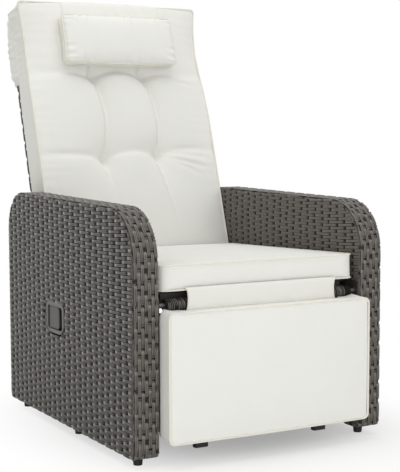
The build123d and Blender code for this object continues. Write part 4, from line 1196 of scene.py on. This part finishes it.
@dataclass
class Cushion:
    """A sewn cushion: a remeshed block, swollen by a cloth simulation between its seams."""

    node: str
    body: str
    place: Place
    width: float
    start: float
    length: float
    base: float
    thickness: float
    crown: float
    palette: Palette
    corner: float = 0.022
    draw_in: float = 0.004
    seams: tuple[float, ...] = (0.0, 1.0)
    voxel: float = 0.007
    pressure: float = 4.0
    cap: float = 0.014
    fill: float = 0.8
    tufts: tuple[tuple[float, float], ...] = ()
    gathers: float = 0.0
    crimp: float = 0.0
    crimp_from: float = -1.0
    pucker: float = 0.0
    end_share: float = 0.3
    skirt: float = 0.0
    skirt_from: float = 0.2600
    skirt_out: float = 0.0
    ear: float = 0.0
    lag: float = 0.0
    lag_at: float = 0.61
    lag_reach: float = 0.13
    flare: float = 0.0
    flare_reach: float = 0.05
    waist_reach: float = 0.09
    waist_share: float = 0.7
    tuck: float = 0.0
    tuft_hold: float = 0.010
    lowest: float = 0.0005
    seam_radius: float = SEAM_RADIUS
    folds: tuple[tuple[float, float, float, float, float], ...] = ()

    def half_at(self, along: np.ndarray) -> np.ndarray:
        """Half the width at a distance from the cushion's start."""
        return self.width / 2 - self.draw_in * bow(np.clip(along / self.length, 0, 1))

    def lagging(self, x: np.ndarray | float, y: np.ndarray | float) -> np.ndarray | float:
        """How far the face's rim has been pulled back towards the hood, in metres."""
        near = np.exp(-((y - self.lag_at) / self.lag_reach) ** 2)
        return self.lag * near * (np.abs(x) * 2 / self.width) ** 4

    def spread(self, x: np.ndarray | float, y: np.ndarray | float) -> np.ndarray | float:
        """How far the sides stand out at the top corners and in below them, in metres."""
        out = np.exp(-((self.length - y) / self.flare_reach) ** 2)
        drawn = np.exp(-((y - self.lag_at) / self.waist_reach) ** 2)
        share = (np.abs(x) * 2 / self.width) ** 4
        return np.sign(x) * self.flare * (out - self.waist_share * drawn) * share

    def draw_to_seams(self, co: np.ndarray) -> np.ndarray:
        """Pulls the points beside each seam onto its line, which keeps the edge sharp."""
        for level in self.seams:
            out = min(max(level * self.thickness, self.seam_radius), self.thickness)
            loop = self.rim(out, grow=0.0004)
            line = np.array([a.lerp(b, share) for a, b in zip(loop, loop[1:] + loop[:1])
                             for share in (0.0, 0.2, 0.4, 0.6, 0.8)])
            near = np.flatnonzero(np.abs(co[:, 2] - out) < 0.012)
            gap = np.linalg.norm(co[near, None, :] - line[None, :, :], axis=2)
            best = gap.argmin(axis=1)
            pull = np.exp(-(gap.min(axis=1) / 0.0055) ** 4)[:, None]
            co[near] += (line[best] - co[near]) * pull
        return co

    def rim(self, out: float, grow: float = 0.0) -> list[Vector]:
        """The seam line once round at a height, in the cushion's own measures."""
        points = []
        corner = self.corner
        for cx, cy, first in ((1, 1, 0), (-1, 1, 90), (-1, -1, 180), (1, -1, 270)):
            for step in range(7):
                angle = math.radians(first + 15 * step)
                x = cx * (self.width / 2 - corner) + (corner + grow) * math.cos(angle)
                y = (self.length / 2 + cy * (self.length / 2 - corner)
                     + (corner + grow) * math.sin(angle))
                points.append(Vector((x, y, out)))
            # the long side that follows this corner, in steps that take up its draw-in
            if cx == -1 and cy == 1 or cx == 1 and cy == -1:
                y0, y1 = points[-1].y, self.length - points[-1].y
                points += [Vector((points[-1].x, y0 + (y1 - y0) * k / 12, out))
                           for k in range(1, 12)]
        for point in points:
            pull = self.draw_in * bow(min(max(point.y / self.length, 0.0), 1.0))
            point.x -= math.copysign(pull, point.x) * min(1.0, abs(point.x) / (self.width / 2))
            sag = self.draw_in * 0.5 * bow(min(max(point.x / self.width + 0.5, 0.0), 1.0))
            point.y += sag if point.y < self.length / 2 else -sag
        return points

    def creases(self, x: np.ndarray, y: np.ndarray) -> np.ndarray:
        """How far the seam's soft puckers and the small folds pull the face in."""
        edge = np.abs(self.width / 2 - np.abs(x))
        depth = self.pucker * (1 + np.sin(y * 210 + 1.7 * np.sin(y * 47) + x * 9))
        depth *= np.exp(-edge / 0.055)
        for x0, y0, x1, y1, deep in self.folds:
            length = math.hypot(x1 - x0, y1 - y0)
            along = ((x - x0) * (x1 - x0) + (y - y0) * (y1 - y0)) / length ** 2
            aside = ((x - x0) * (y1 - y0) - (y - y0) * (x1 - x0)) / length
            fade = bow(np.clip(along, 0, 1))
            depth += deep * 1.8 * fade * np.exp(-(aside / 0.0048) ** 2)
        return depth

    def block(self) -> bpy.types.Object:
        """The plain block with round corners, remeshed evenly and given its crown."""
        shell = bmesh.new()
        rings = []
        for out in (0.0, self.thickness):
            rings.append([shell.verts.new(p) for p in self.rim(out)])
        count = len(rings[0])
        for i in range(count):
            j = (i + 1) % count
            shell.faces.new((rings[0][i], rings[0][j], rings[1][j], rings[1][i]))
        shell.faces.new(list(reversed(rings[0])))
        shell.faces.new(rings[1])
        obj = from_shell(self.node + "_cloth", shell)
        remesh = obj.modifiers.new("even", "REMESH")
        remesh.mode = "VOXEL"
        remesh.voxel_size = self.voxel
        remesh.use_smooth_shade = True
        return plain(obj)

    def shaped(self, co: np.ndarray) -> np.ndarray:
        """Crowns the face of a block's points."""
        x, y, out = co[:, 0], co[:, 1], co[:, 2]
        upper = np.clip(out / self.thickness, 0, 1)
        share = np.clip(y / self.length, 0, 1)
        across = np.clip(1 - (2 * x / self.width) ** 2, 0, 1)
        ends = self.end_share + (1 - self.end_share) * bow(share)
        rise = self.crown * ends * np.sqrt(across) * np.clip(bow(share) * 6, 0, 1) ** 0.5
        moved = co.copy()
        moved[:, 2] += upper ** 2 * rise
        return moved

    def held(self, co: np.ndarray) -> np.ndarray:
        """Which points of the block its seams, its tufts and its flat underside hold."""
        edge_x = self.half_at(co[:, 1]) - np.abs(co[:, 0])
        edge_y = np.minimum(co[:, 1], self.length - co[:, 1])
        rim = np.minimum(edge_x, edge_y)
        held = np.zeros(len(co), bool)
        for level in self.seams:
            held |= (rim < self.voxel * 1.1) & (np.abs(co[:, 2] - level * self.thickness)
                                                < self.voxel * 0.9)
        held |= co[:, 2] < self.voxel * 0.5
        top = co[:, 2] > self.thickness * 0.8
        for tx, ty in self.tufts:
            held |= top & (np.hypot(co[:, 0] - tx, co[:, 1] - ty) < self.tuft_hold)
        return held

    def blown(self, obj: bpy.types.Object, shaped: np.ndarray, held: np.ndarray) -> np.ndarray:
        """Blows the block up as cloth, no point further than the cap.

        Args:
            obj: the block, whose simulation is applied.
            shaped: its crowned points.
            held: which of them stay where they are.

        Returns:
            The points of the blown up cushion.
        """
        group = obj.vertex_groups.new(name="held")
        group.add([int(i) for i in np.flatnonzero(held)], 1.0, "REPLACE")
        cloth = obj.modifiers.new("cloth", "CLOTH")
        cloth.settings.quality = 4
        cloth.settings.mass = 0.25
        cloth.settings.vertex_group_mass = "held"
        cloth.settings.use_pressure = True
        cloth.settings.uniform_pressure_force = self.pressure
        cloth.settings.effector_weights.gravity = 0.0
        cloth.collision_settings.use_collision = False
        cloth.point_cache.frame_start = 1
        cloth.point_cache.frame_end = 20
        for number in range(1, 21):
            bpy.context.scene.frame_set(number)
        plain(obj)
        bpy.context.scene.frame_set(1)
        swollen = np.array([v.co for v in obj.data.vertices], float)
        push = swollen - shaped
        far = np.linalg.norm(push, axis=1, keepdims=True)
        limit = self.cap * np.tanh(far / self.cap) / np.maximum(far, 1e-9)
        return shaped + push * limit

    def gather(self, co: np.ndarray) -> None:
        """Ruffles the face along its edges, as cloth gathered into a seam."""
        x, y = co[:, 0], co[:, 1]
        edge = np.minimum(self.half_at(y) - np.abs(x), np.minimum(y, self.length - y))
        run = np.where(np.abs(x) > self.width / 2 - 0.03, y, x)
        folds = np.sin(run * 420 + 2.5 * np.sin(run * 90)) * (0.6 + 0.4 * np.sin(run * 53))
        folds *= np.exp(-np.abs(edge) / 0.017)
        upper = np.clip(co[:, 2] / self.thickness, 0, 1)
        co[:, 2] += self.gathers * folds * upper

    def crimp_sides(self, co: np.ndarray) -> None:
        """Crumples the long sides in and out."""
        x, y = co[:, 0], co[:, 1]
        side = np.clip(1 - (self.width / 2 - np.abs(x)) / 0.010, 0, 1)
        side *= ramp(y, self.crimp_from, 0.03)
        crimp = np.sin(y * 430 + 60 * co[:, 2] + 2.0 * np.sin(y * 110))
        crimp *= 0.6 + 0.4 * np.sin(y * 61 + 1.0)
        co[:, 0] += np.sign(x) * side * self.crimp * crimp

    def drop_skirt(self, co: np.ndarray, upper: np.ndarray) -> None:
        """Lets the cover down past the panel's sides and top, and out at its top corners."""
        x, y = co[:, 0], co[:, 1]
        beside = ramp(np.abs(x), self.skirt_from, 0.003)
        wide = np.maximum(np.abs(x), self.width / 2 + self.skirt_out)
        co[:, 0] += np.sign(x) * (wide - np.abs(x)) * beside * (1 - upper)
        above = ramp(y, self.length - 0.004, 0.003) * ramp(np.abs(x), 0.207, 0.006)
        co[:, 2] -= self.skirt * (1 - upper) * np.maximum(beside, above)
        corner = (ramp(np.abs(x), self.width / 2 - 0.030, 0.020)
                  * ramp(y, self.length - 0.020, 0.015))
        co[:, 1] += self.ear * corner * (1 - 0.6 * upper)

    def tuck_rear(self, co: np.ndarray) -> None:
        """Draws the rear of the cover in towards its top end and its sides."""
        x, y = co[:, 0], co[:, 1]
        rear = np.clip(1 - co[:, 2] / self.thickness, 0, 1)
        slope = ramp(y, 0.09, 0.10)
        end = ramp(y, 0.19, 0.0295)
        side = ramp(np.abs(x), 0.245, 0.020) * ramp(y, 0.12, 0.08)
        co[:, 2] += rear * self.tuck * (0.25 * slope + 0.9 * end ** 2 + 0.75 * side)

    def swell(self, obj: bpy.types.Object) -> None:
        """Blows the block up between its seams and tufts, then sews and folds its cloth."""
        co = np.array([v.co for v in obj.data.vertices], float)
        held = self.held(co)
        shaped = self.shaped(co)
        obj.data.vertices.foreach_set("co", shaped.ravel())
        shaped = self.blown(obj, shaped, held)
        shaped = self.draw_to_seams(shaped)
        x, y = shaped[:, 0], shaped[:, 1]
        if self.tufts:
            pull = np.clip(shaped[:, 2] / self.thickness, 0, 1) ** 3
            shaped[:, 2] -= pull * (Quilting(self.tufts).depth(x, y) + self.creases(x, y))
        if self.gathers:
            self.gather(shaped)
        if self.crimp:
            self.crimp_sides(shaped)
        shaped[:, 2] = np.maximum(shaped[:, 2], self.lowest)
        upper = np.clip(shaped[:, 2] / self.thickness, 0, 1)
        if self.skirt:
            self.drop_skirt(shaped, upper)
        if self.tuck:
            self.tuck_rear(shaped)
        if self.lag:
            shaped[:, 2] -= upper ** 3 * self.lagging(x, y)
            shaped[:, 0] += self.spread(x, y)
        obj.data.vertices.foreach_set("co", shaped.ravel())
        obj.data.update()

    def build(self) -> list[bpy.types.Object]:
        """Makes the cushion and its piping and sets them on their body."""
        obj = self.block()
        self.swell(obj)
        refined(obj)
        turn = self.place.matrix() @ Matrix.Translation((0, self.start, self.base))
        obj.data.transform(turn)
        obj.name = self.node + "_cover"
        self.palette.dress(obj, self.palette.by_slot["cushion"])
        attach(obj, self.body)
        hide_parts(self.node)
        if not self.seams:
            return [obj]
        guides = []
        for level in self.seams:
            out = min(max(level * self.thickness, self.seam_radius), self.thickness)
            loop = self.rim(out, grow=0.0008)
            loop = [p + Vector((self.spread(p.x, p.y), 0, -level * self.lagging(p.x, p.y)))
                    for p in loop + loop[:1]]
            middle = Vector((0, self.length / 2, out))
            guides.append(Guide([turn @ p for p in loop],
                                [turn.to_3x3() @ (p - middle).normalized() for p in loop]))
        cord = Strands(2 * self.seam_radius, 2 * self.seam_radius, step=0.006, gather=0.0,
                       section=Section.ROUND)
        piping = cord.weave(
            self.node + "_piping", guides, self.palette.by_slot["piping"])
        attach(piping, self.body)
        return [obj, piping]


@dataclass
class Sheet:
    """A flat piece of cloth given by its section, sewn along its ends."""

    name: str
    node: str
    place: Place
    section: list[tuple[float, float]]
    half_width: float
    waist: float
    palette: Palette
    thickness: float = 0.0022
    columns: int = 44
    wrinkle: float = 0.0008

    def facing(self, index: int) -> Vector:
        """The way that the cloth faces at a point of its section, in the place's measures."""
        before = Vector(self.section[max(index - 1, 0)])
        after = Vector(self.section[min(index + 1, len(self.section) - 1)])
        run = (after - before).normalized()
        return Vector((0.0, -run.y, run.x))

    def half_at(self, share: float) -> float:
        """Half the width at a share of the way along the section."""
        return self.half_width - self.waist * bow(share)

    def build(self, under: BVHTree | None = None) -> bpy.types.Object:
        """Makes the sheet in the chair's axes, on no body yet.

        Args:
            under: a surface that it lies on, or None where it hangs free.

        Returns:
            The piece.
        """
        turn = self.place.matrix()
        shell = bmesh.new()
        rows = []
        last = len(self.section) - 1
        for index, (along, out) in enumerate(self.section):
            half = self.half_at(index / last)
            away = turn.to_3x3() @ self.facing(index)
            row = []
            for column in range(self.columns + 1):
                x = half * (2 * column / self.columns - 1)
                slant = abs(x) * 60 + (along - out) * 45
                level = 1 - 0.75 * abs(x / half) ** 6
                ripple = self.wrinkle * (1 + noise.noise(Vector((slant, x * 14, 2.0)))) * level
                point = turn @ Vector((x, along, out)) + away * ripple
                if under:
                    hit = under.ray_cast(point + away * 0.03, -away, 0.06)[0]
                    if hit:
                        point = hit + away * (0.0016 * level + ripple)
                row.append(shell.verts.new(point))
            rows.append(row)
        for low, high in zip(rows, rows[1:]):
            for i in range(self.columns):
                shell.faces.new((low[i], low[i + 1], high[i + 1], high[i]))
        bmesh.ops.recalc_face_normals(shell, faces=shell.faces)
        obj = from_shell(self.name, shell)
        solid = obj.modifiers.new("cloth", "SOLIDIFY")
        solid.thickness = self.thickness
        solid.offset = 0.0
        refined(obj)
        self.palette.dress(obj, self.palette.by_slot["cushion"])
        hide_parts(self.node)
        return obj

    def side_piping(self) -> bpy.types.Object:
        """Sews piping up both short sides, on no body yet."""
        turn = self.place.matrix()
        last = len(self.section) - 1
        guides = []
        for side in (-1, 1):
            line = [turn @ Vector((side * self.half_at(i / last), along, out + 0.0006))
                    for i, (along, out) in enumerate(self.section)]
            guides.append(Guide(line, [Vector((side, 0, 0))] * len(line)))
        cord = Strands(0.0042, 0.0042, step=0.004, gather=0.0, section=Section.ROUND)
        piece = cord.weave(self.name + "_piping", guides, self.palette.by_slot["piping"])
        return piece


@dataclass
class ReleaseCable:
    """The cable from the pull handle to the gas spring, on the route of its solid."""

    palette: Palette
    radius: float = 0.0025
    route: tuple[tuple[float, float, float], ...] = (
        (-0.306, 0.01023, 0.2585), (-0.25092, 0.01023, 0.2585),
        (-0.19278, 0.00725, 0.25252), (-0.13464, 0.00278, 0.24824),
        (-0.07803, -0.00914, 0.24654), (-0.0306, -0.03894, 0.24654),
        (0.0, -0.08662, 0.24995), (0.0, -0.13877, 0.24995))

    def build(self) -> bpy.types.Object:
        """Makes the cable as a round curve on the base."""
        curve = bpy.data.curves.new("release_cable_sleeve", "CURVE")
        curve.dimensions = "3D"
        spline = curve.splines.new("NURBS")
        spline.points.add(len(self.route) - 1)
        for point, place in zip(spline.points, self.route):
            point.co = (*place, 1.0)
        spline.order_u = 3
        spline.use_endpoint_u = True
        curve.bevel_depth = self.radius
        curve.bevel_resolution = 3
        curve.resolution_u = 8
        curve.use_fill_caps = True
        obj = added("release_cable_sleeve", curve)
        self.palette.dress(obj, self.palette.by_slot["cable"])
        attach(obj, "base")
        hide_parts("release_cable")
        2 * self.radius
        return obj


@dataclass
class Studio:
    """The camera, the lamps, the floor and the pale surroundings."""

    camera_place: tuple[float, float, float] = (-1.460, -2.332, 0.736)
    azimuth: float = -29.34
    pitch: float = 5.23
    roll: float = -0.14
    lens: float = 92.65
    shift: tuple[float, float] = (-0.0142, 0.0141)
    ambient: float = 0.54
    floor_glow: float = 0.33
    ambient_colour: Colour = (1.0, 0.985, 0.945)
    lamp_colour: Colour = (0.985, 0.992, 1.0)

    def camera(self) -> None:
        """Sets the camera where the photograph was taken from."""
        data = bpy.data.cameras.new("camera")
        data.lens = self.lens
        data.sensor_width = 36.0
        data.shift_x, data.shift_y = self.shift
        obj = added("camera", data)
        x, y, z = self.camera_place
        turn = (Matrix.Rotation(math.radians(self.azimuth), 4, "Z")
                @ Matrix.Rotation(math.radians(90.0 - self.pitch), 4, "X")
                @ Matrix.Rotation(math.radians(self.roll), 4, "Z"))
        obj.matrix_world = Matrix.Translation((x, FRONT_Y + y, z)) @ turn
        bpy.context.scene.camera = obj

    def world(self) -> None:
        """Lights everything softly and shows white to the camera and to reflections."""
        world = bpy.data.worlds.new("studio")
        world.use_nodes = True
        bpy.context.scene.world = world
        wires = Wiring(world.node_tree)
        path = wires.node("ShaderNodeLightPath").outputs
        seen = Value(wires, path["Is Camera Ray"])
        for kind in ("Is Glossy Ray", "Is Transmission Ray"):
            seen = seen.math("MAXIMUM", Value(wires, path[kind]))
        soft = wires.node("ShaderNodeBackground", {}, {"Strength": self.ambient,
                                                       "Color": (*self.ambient_colour, 1.0)})
        white = wires.node("ShaderNodeBackground", {}, {"Strength": 1.0,
                                                        "Color": (1.0, 1.0, 1.0, 1.0)})
        both = wires.node("ShaderNodeMixShader", {}, {0: seen, 1: soft.outputs[0],
                                                      2: white.outputs[0]})
        wires.feed(world.node_tree.nodes["World Output"].inputs[0], both.outputs[0])

    def lamp(self, name: str, place: Point, target: Point, size: float,
             power: float) -> None:
        """Adds a square soft lamp.

        Args:
            name: the lamp's name.
            place: where it hangs.
            target: where it points.
            size: its side in metres.
            power: its power in watts.
        """
        data = bpy.data.lights.new(name, "AREA")
        data.size = size
        data.energy = power
        data.color = self.lamp_colour
        obj = added(name, data)
        obj.location = place
        way = Vector(target) - Vector(place)
        obj.rotation_euler = way.to_track_quat("-Z", "Y").to_euler()

    def floor(self) -> None:
        """Lays a floor that a camera-only glow paints white, the glow weaker near the chair so
        that its shadow shows.
        """
        mesh = bpy.data.meshes.new("studio_floor")
        reach = 14.0
        mesh.from_pydata([(-reach, -reach, 0), (reach, -reach, 0), (reach, reach, 0),
                          (-reach, reach, 0)], [], [(0, 1, 2, 3)])
        obj = added("studio_floor", mesh)
        shader = Shader("pale_floor")
        seen = Value(shader, shader.node("ShaderNodeLightPath").outputs["Is Camera Ray"])
        centred = shader.node("ShaderNodeMapping", {}, {
            "Vector": shader.place(), "Location": (-0.05, 0.105, 0.0), "Scale": (1.0, 0.7, 1.0)})
        span = shader.value("ShaderNodeVectorMath", {"operation": "LENGTH"},
                            {0: centred.outputs[0]}, "Value")
        # painted light: the glow is a third near the chair and full from about 0.6 m out, so it
        # lightens the chair's shadow more the further out it falls
        fade = shader.value("ShaderNodeMapRange", {"interpolation_type": "SMOOTHSTEP"},
                            {"Value": span, "From Min": 0.12, "From Max": 0.62,
                             "To Min": self.floor_glow, "To Max": 1.0})
        shader.set(Base_Color=(0.93, 0.93, 0.93, 1.0), Roughness=0.9, Specular_IOR_Level=0.1)
        glow = shader.node("ShaderNodeEmission", {}, {"Color": (1.0, 1.0, 1.0, 1.0)})
        both = shader.node("ShaderNodeMixShader", {}, {0: seen * fade,
                                                       1: shader.surface.outputs[0],
                                                       2: glow.outputs[0]})
        shader.feed(shader.tree.nodes["Material Output"].inputs[0], both.outputs[0])
        mesh.materials.append(shader.material)

    def build(self) -> None:
        """Sets up the whole studio."""
        bpy.context.scene.view_settings.view_transform = "Standard"
        self.camera()
        self.world()
        self.lamp("key", (2.0, -3.2, 2.6), (0.0, 0.0, 0.5), 1.8, 17.0)
        self.lamp("top", (-0.3, 0.0, 3.4), (0.0, 0.0, 0.5), 2.8, 42.0)
        self.lamp("front", (-1.0, -2.8, 0.6), (0.1, -0.3, 0.35), 1.3, 16.5)
        self.lamp("rim", (-1.1, 3.0, 1.5), (-0.33, 0.0, 0.35), 1.2, 5.0)
        self.floor()


class Armchair:
    """All the dressed parts of the chair, in the order they are made."""

    def __init__(self) -> None:
        """Makes the finishes."""
        self.palette = Palette()

    def weaving(self) -> None:
        """Weaves the arms, the back and the footrest."""
        for side in (-1, 1):
            self.report(WovenArm(side, self.palette).build())
        panels = (
            WovenPanel("back_weave", "backrest", BACK, 0.024, 0.726, 0.257, -0.017, -1, 0.034,
                       0.055, True, self.palette, covered=0.552),
            WovenPanel("footrest_weave", "footrest", FOOTREST, 0.058, 0.330, 0.262, -0.024, -1,
                       0.024, 0.024, False, self.palette),
        )
        for panel in panels:
            self.report(panel.build())
        self.report([RailWrap(self.palette).build()])

    def cushions(self) -> None:
        """Sews the padded pieces and the flaps between them."""
        gap = 0.0003
        made = {}
        for cushion in (
            Cushion("seat_cushion", "base", SEAT, 0.518, 0.0, 0.588, gap, 0.057, 0.006,
                    self.palette, cap=0.010, seam_radius=0.0019),
            Cushion("back_cushion", "backrest", BACK, 0.530, 0.0, 0.742, 0.0173, 0.084,
                    0.013, self.palette, corner=0.009, seams=(1.0,), draw_in=0.0, cap=0.012,
                    skirt=0.0060, lag=0.018, flare=0.006, voxel=0.0055, crimp=0.0026,
                    crimp_from=0.53, pucker=0.0006,
                    tufts=((-0.082, 0.292), (0.080, 0.302), (-0.084, 0.528), (0.070, 0.530)),
                    folds=((0.095, 0.300, 0.240, 0.262, 0.0030),
                           (0.100, 0.310, 0.250, 0.292, 0.0028),
                           (0.100, 0.318, 0.235, 0.322, 0.0022),
                           (0.110, 0.290, 0.220, 0.240, 0.0020),
                           (0.090, 0.530, 0.240, 0.505, 0.0028),
                           (0.095, 0.538, 0.250, 0.530, 0.0022),
                           (-0.100, 0.306, -0.250, 0.312, 0.0024))),
            Cushion("footrest_cushion", "footrest", FOOTREST, 0.529, 0.057, 0.287, gap, 0.042,
                    0.011, self.palette, corner=0.012, draw_in=0.0, seams=(1.0,), cap=0.008,
                    skirt=0.0215, skirt_from=0.2595, skirt_out=0.0016, ear=0.0065),
            Cushion("cushion_hood", "backrest", BACK, 0.5320, 0.530, 0.2195, -0.0278, 0.0525,
                    0.0, self.palette, corner=0.022, seams=(), draw_in=0.0, cap=0.003,
                    gathers=0.0012, crimp=0.0040, tuck=0.022, fill=0.3),
            Cushion("head_pillow", "backrest", BACK, 0.334, 0.556, 0.136, 0.1105, 0.032,
                    0.010, self.palette, seams=(0.25, 0.8), voxel=0.005, cap=0.011,
                    gathers=0.0048, corner=0.014, fill=0.7),
        ):
            made[cushion.node] = cushion.build()
            self.report(made[cushion.node])
        points, faces = [], []
        for piece in made["back_cushion"]:
            faces += [[len(points) + i for i in p.vertices] for p in piece.data.polygons]
            points += [v.co for v in piece.data.vertices]
        under = BVHTree.FromPolygons(points, faces)
        section = ([(0.676 + 0.0064 * i, 0.108) for i in range(10)]
                   + [(0.7405, 0.107), (0.7450, 0.1035), (0.7475, 0.0985)]
                   + [(0.7480, 0.0930 - 0.0075 * i) for i in range(9)])
        top = Sheet("pillow_flap_cloth", "pillow_flap", BACK, section, 0.148, 0.0,
                    self.palette, wrinkle=0.0016)
        top = top.build(under)
        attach(top, "backrest")
        section = ([(0.3345 + 0.00514 * i, -0.0032) for i in range(11)]
                   + [(0.3885, -0.0034), (0.3910, -0.0048), (0.3932, -0.0075)])
        front = Sheet("seat_flap_cloth", "seat_flap", FOOTREST, section, 0.200, 0.006,
                      self.palette)
        cloth, piping = front.build(), front.side_piping()
        for piece in (cloth, piping):
            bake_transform(piece)
        self.report([top, cloth, piping])

    def report(self, pieces: list[bpy.types.Object]) -> None:
        """Logs each piece with its count of faces."""
        for piece in pieces:
            if piece.type == "MESH":
                log.info("%s: %d faces", piece.name, len(piece.data.polygons))

    def build(self) -> None:
        """Dresses the whole chair."""
        self.palette.dress_nodes()
        ReleaseCable(self.palette).build()
        self.weaving()
        self.cushions()


def main() -> None:
    """Builds the studio and the chair."""
    logging.basicConfig(level=logging.INFO, format="%(message)s")
    Studio().build()
    Armchair().build()


if __name__ == "__main__":
    main()
